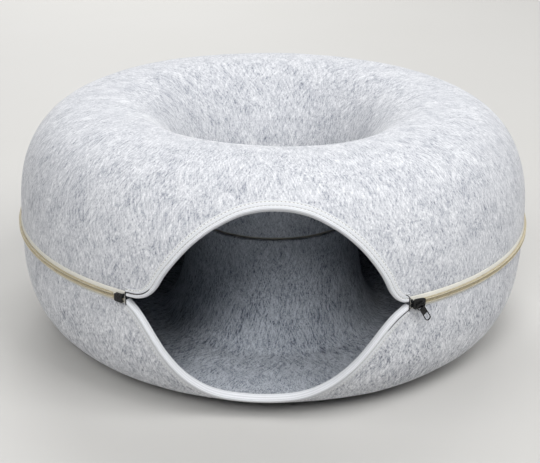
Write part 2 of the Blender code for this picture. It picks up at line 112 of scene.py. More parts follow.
def feed(node: bpy.types.Node, inputs: dict[Any, Any]) -> None:
    """Set a node's inputs by name or number, and link those that get another node's output."""
    for name, value in inputs.items():
        if isinstance(value, Socket):
            node.id_data.links.new(value, node.inputs[name])
        else:
            node.inputs[name].default_value = value


def add_node(tree: Tree, kind: str, inputs: dict[Any, Any], output: Any = 0,
             **settings: str) -> Socket:
    """Add a node to a tree with its settings and its links.

    Args:
        tree: the tree that takes the node.
        kind: the node's type name without ShaderNode.
        inputs: names or numbers of inputs, each with a value or the output to link.
        output: name or number of the output to return.
        settings: the node's own settings by name.

    Returns:
        The chosen output of the new node.
    """
    made = tree.nodes.new(f"ShaderNode{kind}")
    for name, value in settings.items():
        setattr(made, name, value)
    feed(made, inputs)
    return made.outputs[output]


def new_material(name: str) -> tuple[bpy.types.Material, Tree, bpy.types.Node]:
    """Return a material, its tree and its Principled shader."""
    made = bpy.data.materials.new(name)
    made.use_nodes = True
    return made, made.node_tree, made.node_tree.nodes["Principled BSDF"]


@dataclass(frozen=True)
class FibreLayer:
    """One layer of fibres in the felt: width, length over width, slant and weight."""

    width: float
    drawn_out: float
    slant: float
    weight: float


@dataclass(frozen=True)
class FeltFinish:
    """Needle-punched polyester felt, moulded under heat: soft, matt and streaked by fibres.

    Dark and white fibres lie in a pale blue-grey web. Two layers of short strands cross at
    a slant and are drawn out along the section by the moulding, with a fine fuzz between
    them and darker clouds where the fibres gather, so the eye sees a mottled, combed cloth.
    The inner side is multiplied by a darker, bluer tint, which is painted shade of the
    tunnel's inside, and its fibres stand out more, as they do below the parting.
    """

    name: str = "needle_punched_felt"
    # Dark fibre, its shade in the web, the web itself, and white fibre
    stops: tuple[tuple[float, str], ...] = (
        (0.12, "#60646E"), (0.34, "#9EA1A9"), (0.5, "#B8BABF"), (0.82, "#DADBDE"))
    # Darker, bluer tint for the inner side: painted shade of the tunnel's inside
    inner_side: str = "#EBF0F5"
    inner_contrast: float = 0.12
    lower_contrast: float = 0.35
    layers: tuple[FibreLayer, ...] = (
        FibreLayer(0.85 * MILLIMETRE, 3.6, 0.32, 0.9),
        FibreLayer(0.85 * MILLIMETRE, 3.6, -0.42, 0.74),
        FibreLayer(0.24 * MILLIMETRE, 11.0, 0.12, 0.5))
    fuzz_size: float = 0.7 * MILLIMETRE
    fuzz_weight: float = 0.7
    cloud_size: float = 11 * MILLIMETRE
    cloud_weight: float = 0.4
    wander_size: float = 35 * MILLIMETRE
    wander: float = 12 * MILLIMETRE
    section_centre_radius: float = 0.16
    section_length: float = 0.095
    hole_reach: float = 0.1
    wall_reach: float = 0.225
    crown_blend: float = 0.02
    bump_strength: float = 0.5
    bump_depth: float = 0.3 * MILLIMETRE
    roughness: float = 0.95
    specular: float = 0.2
    sheen: float = 0.2
    sheen_roughness: float = 0.5

    def build(self, form: "BedForm") -> bpy.types.Material:
        """Build the felt on Object coordinates.

        Args:
            form: gives the ring's axis and the parting plane.

        Returns:
            The felt material.
        """
        made, tree, shader = new_material(self.name)
        centred = add_node(tree, "Mapping", {
            "Vector": add_node(tree, "TexCoord", {}, "Object"),
            "Location": (0.0, form.axis_forward, -form.parting_height)})
        rise = add_node(tree, "SeparateXYZ", {"Vector": centred}, "Z")
        height = self.fibres(tree, form, centred, rise)
        total = self.gathered(tree, centred, self.cloud_size, self.cloud_weight, height)
        inner = add_node(tree, "Attribute", {}, "Fac", attribute_name=FeltShell.inner_mark)
        below = add_node(tree, "MapRange", {
            "Value": rise, "From Min": 0.0, "From Max": -form.lower.height / 2, "To Min": 1.0,
            "To Max": 1.0 + self.lower_contrast}, interpolation_type="SMOOTHSTEP")
        contrast = add_node(tree, "Math", {0: inner, 1: self.inner_contrast, 2: below},
                            operation="MULTIPLY_ADD")
        shown = self.weighted(tree, total, contrast, 0.5)
        ramp = add_node(tree, "ValToRGB", {"Fac": shown})
        elements = ramp.node.color_ramp.elements
        while len(elements) < len(self.stops):
            elements.new(0.5)
        for element, (position, color) in zip(elements, self.stops):
            element.position = position
            element.color = linear(color)
        # Inner faces are multiplied by the inner tint: painted shade
        shaded = add_node(tree, "Mix", {0: inner, 6: ramp, 7: linear(self.inner_side)}, 2,
                          data_type="RGBA", blend_type="MULTIPLY")
        bump = add_node(tree, "Bump", {
            "Strength": self.bump_strength, "Distance": self.bump_depth, "Height": height})
        feed(shader, {"Base Color": shaded, "Normal": bump, "Roughness": self.roughness,
                      "Specular IOR Level": self.specular, "Sheen Weight": self.sheen,
                      "Sheen Roughness": self.sheen_roughness})
        return made

    def fibres(self, tree: Tree, form: "BedForm", centred: Socket, rise: Socket) -> Socket:
        """Return the strands and the fuzz between them.

        The strands lie on the angle round the ring and the angle round its section. Those on
        the hole's side and those on the wall are blended over the crown.

        Args:
            tree: the material's tree.
            form: gives the crown's radius.
            centred: gives places from the ring's middle.
            rise: gives the height over the parting plane.

        Returns:
            The fibres' value, about 0.5 on the whole.
        """
        across, along = (add_node(tree, "SeparateXYZ", {"Vector": centred}, axis)
                         for axis in ("X", "Y"))
        level = add_node(tree, "CombineXYZ", {"X": across, "Y": along})
        radius = add_node(tree, "VectorMath", {0: level}, "Value", operation="LENGTH")
        around = add_node(tree, "VectorMath", {0: level}, operation="NORMALIZE")
        off_centre = add_node(tree, "Math", {0: radius, 1: self.section_centre_radius},
                              operation="SUBTRACT")
        section_angle = add_node(tree, "Math", {0: rise, 1: off_centre}, operation="ARCTAN2")
        swirl = add_node(tree, "TexNoise", {
            "Vector": centred, "Scale": 1 / self.wander_size, "Detail": 1.0}, "Color")
        push = add_node(tree, "VectorMath", {0: swirl, "Scale": self.wander}, operation="SCALE")
        outer_share = add_node(tree, "MapRange", {
            "Value": radius, "From Min": form.crown_radius - self.crown_blend,
            "From Max": form.crown_radius + self.crown_blend}, interpolation_type="SMOOTHSTEP")
        total: Socket | float = 0.5
        for layer in self.layers:
            sides = [self.strands(tree, around, section_angle, push, reach, layer)
                     for reach in (self.hole_reach, self.wall_reach)]
            mixed = add_node(tree, "Mix", {0: outer_share, 2: sides[0], 3: sides[1]},
                             data_type="FLOAT")
            total = self.weighted(tree, mixed, layer.weight, total)
        return self.gathered(tree, centred, self.fuzz_size, self.fuzz_weight, total)

    def strands(self, tree: Tree, around: Socket, section_angle: Socket, push: Socket,
                reach: float, layer: FibreLayer) -> Socket:
        """Return one layer of strands.

        Args:
            tree: the material's tree.
            around: gives the level direction out from the axis.
            section_angle: gives the angle round the section.
            push: gives a small wander, so that the strands don't run straight.
            reach: radius at which the strands have their true width.
            layer: the strands' size and slant.

        Returns:
            The layer's value, about 0.5 on the whole.
        """
        twist = add_node(tree, "Math", {
            0: section_angle, 1: layer.slant * self.section_length / reach}, operation="MULTIPLY")
        turned = add_node(tree, "VectorRotate", {"Vector": around, "Angle": twist},
                          rotation_type="Z_AXIS")
        spread = add_node(tree, "VectorMath", {0: turned, "Scale": reach}, operation="SCALE")
        along = add_node(tree, "Math", {
            0: section_angle, 1: self.section_length / layer.drawn_out}, operation="MULTIPLY")
        place = spread
        for part in (add_node(tree, "CombineXYZ", {"Z": along}), push):
            place = add_node(tree, "VectorMath", {0: place, 1: part}, operation="ADD")
        return add_node(tree, "TexNoise", {
            "Vector": place, "Scale": 0.5 / layer.width, **FIBRE_NOISE}, "Fac")

    def gathered(self, tree: Tree, place: Socket, size: float, weight: float,
                 total: Socket | float) -> Socket:
        """Add plain spots of about one size to the layers before them."""
        spots = add_node(tree, "TexNoise", {
            "Vector": place, "Scale": 0.5 / size, **FIBRE_NOISE}, "Fac")
        return self.weighted(tree, spots, weight, total)

    def weighted(self, tree: Tree, value: Socket, weight: Socket | float,
                 total: Socket | float) -> Socket:
        """Add a layer's swing about 0.5 to the layers before it, times a weight."""
        swing = add_node(tree, "Math", {0: value, 1: 0.5}, operation="SUBTRACT")
        return add_node(tree, "Math", {0: swing, 1: weight, 2: total}, operation="MULTIPLY_ADD")


@dataclass(frozen=True)
class WovenFinish:
    """Polyester tape woven with fine ribs across it: matt, with a faint rib and soft sheen."""

    name: str
    color: str
    # Colour between the ribs, painted shade of the weave's grooves, and the tone of soiled spots
    groove: str
    rib_pitch: float
    cross_pitch: float
    depth: float = 0.12 * MILLIMETRE
    bump_strength: float = 0.5
    sheen: float = 0.15
    roughness: float = 0.85
    specular: float = 0.25
    soiled_size: float = 18 * MILLIMETRE
    soiled: float = 0.28
    # Depths of seams where the colour is darkened towards seam_shade: painted shade of the puckered
    # cloth
    seams: tuple[float, ...] = ()
    seam_width: float = 0.55 * MILLIMETRE
    seam_weight: float = 0.85
    seam_shade: str = "#85857F"

    def build(self) -> bpy.types.Material:
        """Build the weave on the piece's own UV map, whose unit is a metre.

        Seams are widths across the cloth at which the thread pulls it in; there the colour is
        darkened, painted shade of the puckered cloth.
        """
        made, tree, shader = new_material(self.name)
        place = add_node(tree, "UVMap", {}, uv_map="weave")
        ribs, cross = (add_node(tree, "TexWave", {
            "Vector": place, "Scale": math.pi / (10 * pitch), "Distortion": wander,
            "Detail": 1.0, "Detail Scale": 2.0}, "Fac", bands_direction=way, wave_profile="SIN")
            for way, pitch, wander in (("X", self.rib_pitch, 0.6), ("Y", self.cross_pitch, 0.4)))
        weave = add_node(tree, "Math", {0: ribs, 1: cross}, operation="MULTIPLY")
        worn = add_node(tree, "TexNoise", {
            "Vector": add_node(tree, "TexCoord", {}, "Object"), "Scale": 1 / self.soiled_size,
            "Detail": 3.0}, "Fac")
        lift = add_node(tree, "MapRange", {"Value": weave, "From Min": 0.0, "From Max": 0.7})
        clean = add_node(tree, "MapRange", {
            "Value": worn, "From Min": 0.35, "From Max": 0.75, "To Min": 1.0,
            "To Max": 1.0 - self.soiled})
        share = add_node(tree, "Math", {0: lift, 1: clean}, operation="MULTIPLY")
        # Towards the groove colour between ribs, which is painted shade of the weave, and where
        # soiled
        color = add_node(tree, "Mix", {
            0: share, 6: linear(self.groove), 7: linear(self.color)}, 2, data_type="RGBA")
        depth = add_node(tree, "SeparateXYZ", {"Vector": place}, "Y")
        for seam in self.seams:
            off = add_node(tree, "Math", {0: depth, 1: seam}, operation="SUBTRACT")
            off = add_node(tree, "Math", {0: off}, operation="ABSOLUTE")
            # Share of painted shade along this seam
            seam_painted_shade = add_node(tree, "MapRange", {
                "Value": off, "From Min": self.seam_width * 0.3, "From Max": self.seam_width,
                "To Min": self.seam_weight, "To Max": 0.0}, interpolation_type="SMOOTHSTEP")
            color = add_node(tree, "Mix", {0: seam_painted_shade, 6: color, 7: linear(self.seam_shade)}, 2,
                             data_type="RGBA")
        bump = add_node(tree, "Bump", {
            "Strength": self.bump_strength, "Distance": self.depth, "Height": weave})
        feed(shader, {"Base Color": color, "Normal": bump, "Roughness": self.roughness,
                      "Specular IOR Level": self.specular, "Sheen Weight": self.sheen})
        return made


@dataclass(frozen=True)
class PlainFinish:
    """A smooth finish with a faint grain: nylon, thread, lacquer or crimped metal.

    The grain breaks the gloss a little, as moulding, dust and handling do.
    """

    name: str
    color: str
    worn: str
    roughness: float
    grain: float
    metallic: float = 0.0
    depth: float = 0.03 * MILLIMETRE
    bump_strength: float = 0.4
    specular: float = 0.5
    gloss_swing: float = 0.15

    def build(self) -> bpy.types.Material:
        """Build the finish on Object coordinates."""
        made, tree, shader = new_material(self.name)
        grain = add_node(tree, "TexNoise", {
            "Vector": add_node(tree, "TexCoord", {}, "Object"), "Scale": 1 / self.grain,
            "Detail": 3.0}, "Fac")
        share = add_node(tree, "MapRange", {"Value": grain, "From Min": 0.5, "From Max": 0.78},
                         interpolation_type="SMOOTHSTEP")
        color = add_node(tree, "Mix", {
            0: share, 6: linear(self.color), 7: linear(self.worn)}, 2, data_type="RGBA")
        gloss = add_node(tree, "MapRange", {
            "Value": grain, "From Min": 0.3, "From Max": 0.7,
            "To Min": self.roughness * (1 - self.gloss_swing),
            "To Max": self.roughness * (1 + self.gloss_swing)})
        bump = add_node(tree, "Bump", {
            "Strength": self.bump_strength, "Distance": self.depth, "Height": grain})
        feed(shader, {"Base Color": color, "Normal": bump, "Roughness": gloss,
                      "Metallic": self.metallic, "Specular IOR Level": self.specular})
        return made


class Finishes:
    """All materials of the bed, each built once."""

    def __init__(self, form: "BedForm") -> None:
        """Build every finish."""
        thread = {"grain": 0.8 * MILLIMETRE, "depth": 0.06 * MILLIMETRE}
        self.felt = FeltFinish().build(form)
        # Grosgrain binding: cool white, fine ribs across, with painted grey shade between them
        self.binding = WovenFinish("grosgrain_binding", "#DDDFE3", "#BDBFC3",
                                   0.7 * MILLIMETRE, 1.1 * MILLIMETRE,
                                   seams=(MouthBinding.groove, MouthBinding.seam)).build()
        # Zip tape: twill of off-white polyester, with painted shade between the yarns
        self.tape = WovenFinish("polyester_zip_tape", "#DCDBD4", "#C7C5BC",
                                0.55 * MILLIMETRE, 0.8 * MILLIMETRE).build()
        # Coil: drawn nylon filament, beige and slightly glossy
        self.coil = PlainFinish("nylon_filament", "#A89E85", "#958B73", 0.45,
                                3 * MILLIMETRE).build()
        # Chain stitch over the coil: cream polyester, lighter than the nylon under it
        self.sewing = PlainFinish("cream_coil_stitching", "#CFC9B7", "#BAB3A0", 0.7,
                                  **thread).build()
        # Slider and box: black lacquer over a die casting, softly glossy with rubbed spots
        self.lacquer = PlainFinish("black_lacquered_zinc", "#060607", "#17181A", 0.27,
                                   1.6 * MILLIMETRE, specular=0.3).build()
        # Stops and pin: blackened steel, pressed
        self.metal = PlainFinish("blackened_steel", "#2A2B2D", "#55565A", 0.38,
                                 0.9 * MILLIMETRE, metallic=1.0).build()
        # Sewing thread: twisted polyester, white on the bindings and black on the tacks
        self.white_thread, self.black_thread = (
            PlainFinish(f"{word}_sewing_thread", color, worn, roughness, **thread).build()
            for word, color, worn, roughness in (("white", "#EFEFEC", "#D9D9D5", 0.7),
                                                 ("black", "#18181A", "#3B3B3E", 0.75)))


# Modelling helpers


def start_clean() -> None:
    """Deselect everything, so that an operator acts on the new piece alone."""
    if bpy.context.object and bpy.context.object.mode != "OBJECT":
        bpy.ops.object.mode_set(mode="OBJECT")
    bpy.ops.object.select_all(action="DESELECT")


def only(piece: bpy.types.Object) -> None:
    """Select one object and make it active."""
    start_clean()
    piece.select_set(True)
    bpy.context.view_layer.objects.active = piece


def set_all(target: Any, settings: dict[str, Any]) -> None:
    """Set attributes of a modifier, curve, light or camera by name."""
    for name, value in settings.items():
        setattr(target, name, value)


def add_object(name: str, data: Any) -> bpy.types.Object:
    """Put new data into the scene as an object."""
    made = bpy.data.objects.new(name, data)
    bpy.context.scene.collection.objects.link(made)
    return made


def add_mesh(name: str, primitive: Callable[..., Any], **options: Any) -> bpy.types.Object:
    """Add a mesh by its operator, and apply its place, turn and size."""
    start_clean()
    primitive(**options)
    piece = bpy.context.object
    piece.name = piece.data.name = name
    bpy.ops.object.transform_apply(location=True, rotation=True, scale=True)
    return piece


def edit_all(piece: bpy.types.Object, *operations: Callable[[], Any]) -> None:
    """Run mesh operators in turn on the whole of a piece."""
    only(piece)
    bpy.ops.object.mode_set(mode="EDIT")
    bpy.ops.mesh.select_all(action="SELECT")
    for operation in operations:
        operation()
    bpy.ops.object.mode_set(mode="OBJECT")


def apply_modifier(piece: bpy.types.Object, kind: str, **settings: Any) -> None:
    """Add a modifier with its settings and apply it."""
    modifier = piece.modifiers.new(kind.lower(), kind)
    set_all(modifier, settings)
    only(piece)
    bpy.ops.object.modifier_apply(modifier=modifier.name)


def set_points(piece: bpy.types.Object, points: np.ndarray) -> None:
    """Give a mesh's vertices new places, in the order of its vertices."""
    piece.data.vertices.foreach_set("co", np.asarray(points, np.float32).reshape(-1))
    piece.data.update()


def get_points(piece: bpy.types.Object) -> np.ndarray:
    """Return a mesh's vertex places as rows of x, y and z."""
    points = np.zeros(len(piece.data.vertices) * 3, np.float32)
    piece.data.vertices.foreach_get("co", points)
    return points.reshape(-1, 3).astype(float)


def join_pieces(name: str, pieces: Sequence[bpy.types.Object]) -> bpy.types.Object:
    """Join pieces into the first one and name it."""
    start_clean()
    for piece in pieces:
        piece.select_set(True)
    bpy.context.view_layer.objects.active = pieces[0]
    if len(pieces) > 1:
        bpy.ops.object.join()
    pieces[0].name = name
    return pieces[0]


def placing(place: Vector, *axes: Vector) -> Matrix:
    """Return the matrix that takes X, Y and Z to three axes at a place."""
    return Matrix.Translation(place) @ Matrix(axes).transposed().to_4x4()


def place_piece(piece: bpy.types.Object, matrix: Matrix) -> None:
    """Move a mesh by a matrix, keep its faces outwards, and leave its object at the origin."""
    piece.data.transform(matrix @ piece.matrix_world)
    piece.matrix_world = Matrix.Identity(4)
    if matrix.determinant() < 0:
        edit_all(piece, bpy.ops.mesh.flip_normals)


def lengths_along(points: np.ndarray) -> np.ndarray:
    """Return the length from the first point of a chain to each point."""
    return np.r_[0.0, np.cumsum(np.linalg.norm(np.diff(points, axis=0), axis=1))]


def sheet_through(name: str, rows: np.ndarray, thickness: float,
                  uv: Optional[np.ndarray] = None) -> bpy.types.Object:
    """Lay a grid through rows of points and give it a thickness to both sides.

    Args:
        name: the piece's name.
        rows: points as [along, across, xyz].
        thickness: the sheet's wall.
        uv: places for the weave in metres, as [along, across, uv].

    Returns:
        The new sheet, at the origin.
    """
    along, across = rows.shape[:2]
    piece = add_mesh(name, bpy.ops.mesh.primitive_grid_add, x_subdivisions=along - 1,
                     y_subdivisions=across - 1, size=2.0)
    flat = get_points(piece)
    steps = np.rint((flat[:, 0] + 1) / 2 * (along - 1)).astype(int)
    sides = np.rint((flat[:, 1] + 1) / 2 * (across - 1)).astype(int)
    if uv is not None:
        layer = piece.data.uv_layers.active or piece.data.uv_layers.new()
        layer.name = "weave"
        corners = np.zeros(len(piece.data.loops), np.int32)
        piece.data.loops.foreach_get("vertex_index", corners)
        places = uv[steps[corners], sides[corners]].astype(np.float32)
        layer.data.foreach_set("uv", places.reshape(-1))
    set_points(piece, rows[steps, sides])
    apply_modifier(piece, "SOLIDIFY", thickness=thickness, offset=0.0)
    smooth(piece)
    return piece


def smooth(piece: bpy.types.Object, degrees: float = 40.0) -> None:
    """Shade a piece smooth, with sharp edges past an angle."""
    only(piece)
    bpy.ops.object.shade_smooth_by_angle(angle=math.radians(degrees))


def turn_outwards(piece: bpy.types.Object, weld: float = 1e-6) -> None:
    """Merge doubled points and turn a closed mesh's faces outwards."""
    edit_all(piece, lambda: bpy.ops.mesh.remove_doubles(threshold=weld),
             lambda: bpy.ops.mesh.normals_make_consistent(inside=False))


def rounded_block(name: str, low: Sequence[float], high: Sequence[float], radius: float,
                  segments: int = 2) -> bpy.types.Object:
    """Return a block between two corners, with its edges rounded in some steps."""
    piece = add_mesh(name, bpy.ops.mesh.primitive_cube_add, size=1.0,
                     location=[(a + b) / 2 for a, b in zip(low, high)],
                     scale=[b - a for a, b in zip(low, high)])
    edit_all(piece, lambda: bpy.ops.mesh.bevel(offset=radius, segments=segments, affect="EDGES",
                                               clamp_overlap=True))
    return piece


def rounded_plate(name: str, length: float, width: float, low: float, high: float,
                  taper: float = 0.0, squareness: float = 5.0,
                  edge: float = 0.3 * MILLIMETRE) -> bpy.types.Object:
    """Return a flat plate with round corners and rolled edges.

    Args:
        name: the piece's name.
        length: size along X.
        width: greatest size along Y.
        low: lower face.
        high: upper face.
        taper: share of the width lost at the +X end, or at the -X end when negative.
        squareness: power of the outline; 2 is an ellipse.
        edge: radius of the rolled edges.

    Returns:
        The plate, at the origin.
    """
    piece = add_mesh(name, bpy.ops.mesh.primitive_cylinder_add, vertices=64, radius=1.0,
                     depth=high - low, location=(0.0, 0.0, (low + high) / 2))
    points = get_points(piece)
    for row in points:
        turn = math.atan2(row[1], row[0])
        along, across = (math.copysign(abs(value) ** (2 / squareness), value)
                         for value in (math.cos(turn), math.sin(turn)))
        lost = abs(taper) * (1 + math.copysign(along, along * taper)) / 2
        row[0], row[1] = along * length / 2, across * width / 2 * (1 - lost)
    set_points(piece, points)
    apply_modifier(piece, "BEVEL", width=edge, segments=3, limit_method="ANGLE",
                   angle_limit=math.radians(60.0))
    return piece


def scatter(name: str, unit: bpy.types.Object, matrices: Iterable[Matrix]) -> bpy.types.Object:
    """Copy one small mesh to many places in a single piece, and remove the original.

    Args:
        name: the new piece's name.
        unit: the small piece, modelled once.
        matrices: one placing matrix for each copy.

    Returns:
        The piece that holds every copy.
    """
    matrices = list(matrices)
    points = np.c_[get_points(unit), np.ones(len(unit.data.vertices))]
    faces = [list(face.vertices) for face in unit.data.polygons]
    count = len(points)
    spots: list[np.ndarray] = []
    sides: list[list[int]] = []
    for index, matrix in enumerate(matrices):
        spots.append((points @ np.array(matrix, float).T)[:, :3])
        sides.extend([[corner + index * count for corner in face] for face in faces])
    mesh = bpy.data.meshes.new(name)
    mesh.from_pydata(np.concatenate(spots).tolist(), [], sides)
    piece = add_object(name, mesh)
    bpy.data.objects.remove(unit)
    if matrices[0].determinant() < 0:
        edit_all(piece, bpy.ops.mesh.flip_normals)
    smooth(piece, 60.0)
    return piece


def thread_unit(length: float, radius: float, sag: float = 0.35) -> bpy.types.Object:
    """Return a short rounded length of thread along X, modelled once for all stitches."""
    piece = add_mesh("thread", bpy.ops.mesh.primitive_uv_sphere_add, segments=6, ring_count=4,
                     radius=radius, rotation=(0.0, math.pi / 2, 0.0))
    points = get_points(piece)
    points[:, 0] += np.sign(np.round(points[:, 0] / radius, 3)) * (length / 2 - radius)
    points[:, 2] -= sag * radius * (np.abs(points[:, 0]) / (length / 2)) ** 2
    set_points(piece, points)
    return piece


def curve_piece(name: str, lines: Sequence[Sequence[Sequence[float]]], closed: bool,
                **settings: Any) -> bpy.types.Object:
    """Return a closed mesh made from one curve.

    Args:
        name: the piece's name.
        lines: points of each spline: closed outlines, or open runs that are smoothed.
        closed: whether the splines are closed outlines.
        settings: the curve's own settings by name.

    Returns:
        The mesh, at the origin.
    """
    curve = bpy.data.curves.new(name, "CURVE")
    set_all(curve, settings)
    for points in lines:
        spline = curve.splines.new("POLY" if closed else "NURBS")
        spline.points.add(len(points) - 1)
        for spot, point in zip(spline.points, points):
            spot.co = (*point, 1.0)
        if closed:
            spline.use_cyclic_u = True
        else:
            spline.order_u = 3
            spline.use_endpoint_u = True
    only(add_object(name, curve))
    bpy.ops.object.convert(target="MESH")
    piece = bpy.context.object
    turn_outwards(piece)
    return piece


def dress(piece: bpy.types.Object, surface: bpy.types.Material, body: str,
          replaced: Sequence[str] = ()) -> bpy.types.Object:
    """Give a piece its material, its body and the nodes that it stands for."""
    piece.data.materials.clear()
    piece.data.materials.append(surface)
    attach(piece, body)
    if replaced:
        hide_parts(*replaced)
    LOG.info("built %s with %d faces", piece.name, len(piece.data.polygons))
    return piece


def ease(low: float, high: float, value: float) -> float:
    """Return a smooth step from 0 at low to 1 at high."""
    share = min(max((value - low) / (high - low), 0.0), 1.0)
    return share * share * (3 - 2 * share)


def smooth_through(points: Sequence[Sequence[float]], steps: int) -> list[tuple[float, ...]]:
    """Return points on a Catmull-Rom curve through the given ones."""
    padded = [points[0], *points, points[-1]]
    curve = []
    for p0, p1, p2, p3 in zip(padded, padded[1:], padded[2:], padded[3:]):
        for step in range(steps):
            t = step / steps
            curve.append(tuple(
                0.5 * (2 * b + (c - a) * t + (2 * a - 5 * b + 4 * c - d) * t * t
                       + (3 * b - a - 3 * c + d) * t * t * t)
                for a, b, c, d in zip(p0, p1, p2, p3)))
    curve.append(tuple(points[-1]))
    return curve


def even_steps(points: Sequence[Sequence[float]], spacing: float) -> list[tuple[float, ...]]:
    """Return points at even lengths along a chain of points."""
    chain = np.array(points, float)
    lengths = lengths_along(chain)
    count = max(2, int(round(lengths[-1] / spacing)) + 1)
    wanted = np.linspace(0.0, lengths[-1], count)
    return [tuple(row) for row in np.stack(
        [np.interp(wanted, lengths, chain[:, axis]) for axis in range(chain.shape[1])], axis=1)]


# The bed


@dataclass(frozen=True)
class HalfForm:
    """Sizes of one shell from the parting plane, and its part of the mouth.

    A roundness of 2 gives an ellipse. The mouth's shares are (across, up) from its middle.
    """

    height: float
    roundness: float
    outer_end: float
    hole_end: float
    hole_rim: float
    mouth_margin: float
    mouth_offset: float
    mouth_fullness: int
    mouth_shares: tuple[Pair, ...]


@dataclass(frozen=True)
class BedForm:
    """Sizes of the two shells and their mouth, and the surface that they give."""

    axis_forward: float = 0.0082
    parting_height: float = 0.113
    outer_radius: float = 0.2475
    hole_radius: float = 0.0805
    crown_radius: float = 0.156
    felt: float = 0.004
    outer_rim: float = 0.0064
    hole_roundness: float = 2.05
    mouth_half_width: float = 0.118
    mouth_corner: float = 0.0024
    upper: HalfForm = HalfForm(0.1115, 2.58, crown_radius, crown_radius, 0.0008, 0.026, 0.0062, 8, (
        (0.0, 1.0), (0.13, 0.986), (0.265, 0.936), (0.40, 0.84), (0.503, 0.74), (0.607, 0.605),
        (0.70, 0.445), (0.777, 0.282), (0.828, 0.14), (0.877, 0.052), (0.935, 0.007), (1.0, 0.0)))
    lower: HalfForm = HalfForm(0.113, 3.1, 0.143, 0.116, 0.0048, 0.0211, -0.008, 2, (
        (0.0, 1.0), (0.13, 0.99), (0.258, 0.963), (0.361, 0.909), (0.439, 0.844), (0.53, 0.75),
        (0.615, 0.636), (0.70, 0.50), (0.78, 0.345), (0.85, 0.205), (0.92, 0.09), (1.0, 0.0)))

    def of(self, half: Half) -> HalfForm:
        """Return a half's own sizes."""
        return self.upper if half is Half.UPPER else self.lower

    def wall_radius(self, half: Half, height: float) -> float:
        """Return the radius of the outer wall's outside at a height."""
        own = self.of(half)
        share = max(0.0, 1 - (height / own.height) ** own.roundness)
        return own.outer_end + (self.outer_radius - own.outer_end) * share ** (1 / own.roundness)

    def hole_wall_radius(self, half: Half, height: float) -> float:
        """Return the radius of the hole's wall at a height."""
        own, power = self.of(half), self.hole_roundness
        share = max(0.0, 1 - (height / own.height) ** power)
        return own.hole_end + (self.hole_radius - own.hole_end) * share ** (1 / power)

    def point(self, radius: float, angle: float, rise: float) -> Vector:
        """Return a point in the frame; the rise is signed, up from the parting plane."""
        return Vector((math.sin(angle) * radius, -math.cos(angle) * radius - self.axis_forward,
                       self.parting_height + rise))

    def surface(self, half: Half, angle: float, height: float) -> tuple[Vector, Vector]:
        """Return a point on the outer wall's outside and the direction out of it."""
        reach = self.felt
        low = max(0.0, height - reach)
        high = min(self.of(half).height - reach / 8, height + reach)
        slope = (self.wall_radius(half, high) - self.wall_radius(half, low)) / (high - low)
        level = Vector((math.sin(angle), -math.cos(angle), 0.0))
        outward = (level - Vector((0, 0, half.value * slope))).normalized()
        return self.point(self.wall_radius(half, height), angle, half.value * height), outward

    def mouth_outline(self, half: Half, steps: int) -> list[Pair]:
        """Return the mouth's cut edge on one half as (across, height), left to right."""
        own = self.of(half)
        rise = own.height - own.mouth_margin - self.mouth_corner
        whole = [(-across, up) for across, up in own.mouth_shares[:0:-1]] + list(own.mouth_shares)
        points = [(across * self.mouth_half_width
                   + own.mouth_offset * (1 - abs(across) ** own.mouth_fullness),
                   self.mouth_corner + up * rise) for across, up in whole]
        return smooth_through(points, steps)

    def mouth_frames(self, half: Half, steps: int, spacing: float = 0.0) -> list[Frame]:
        """Return (point, outward, into the felt) along the mouth's cut edge.

        Args:
            half: the shell that is cut.
            steps: steps between two points of the outline.
            spacing: even spacing along the edge, or 0 to keep the steps.

        Returns:
            One frame for each step, from the left corner to the right one.
        """
        outline = self.mouth_outline(half, steps)
        if spacing:
            outline = even_steps(outline, spacing)
        surface = [self.surface(half, math.asin(across / self.wall_radius(half, height)), height)
                   for across, height in outline]
        frames = []
        for index, (point, outward) in enumerate(surface):
            ahead = surface[min(index + 1, len(surface) - 1)][0]
            behind = surface[max(index - 1, 0)][0]
            into = (outward.cross(ahead - behind) * half.value).normalized()
            frames.append((point, outward, into))
        return frames

    def near_mouth(self, half: Half, spot: Vector) -> tuple[Vector, Vector]:
        """Return the surface point and outward direction level with a spot near the mouth."""
        corner = math.asin(self.mouth_half_width / self.outer_radius)
        angle = math.atan2(spot.x, -(spot.y + self.axis_forward))
        angle = max(-corner, min(corner, angle))
        return self.surface(half, angle, abs(spot.z - self.parting_height))


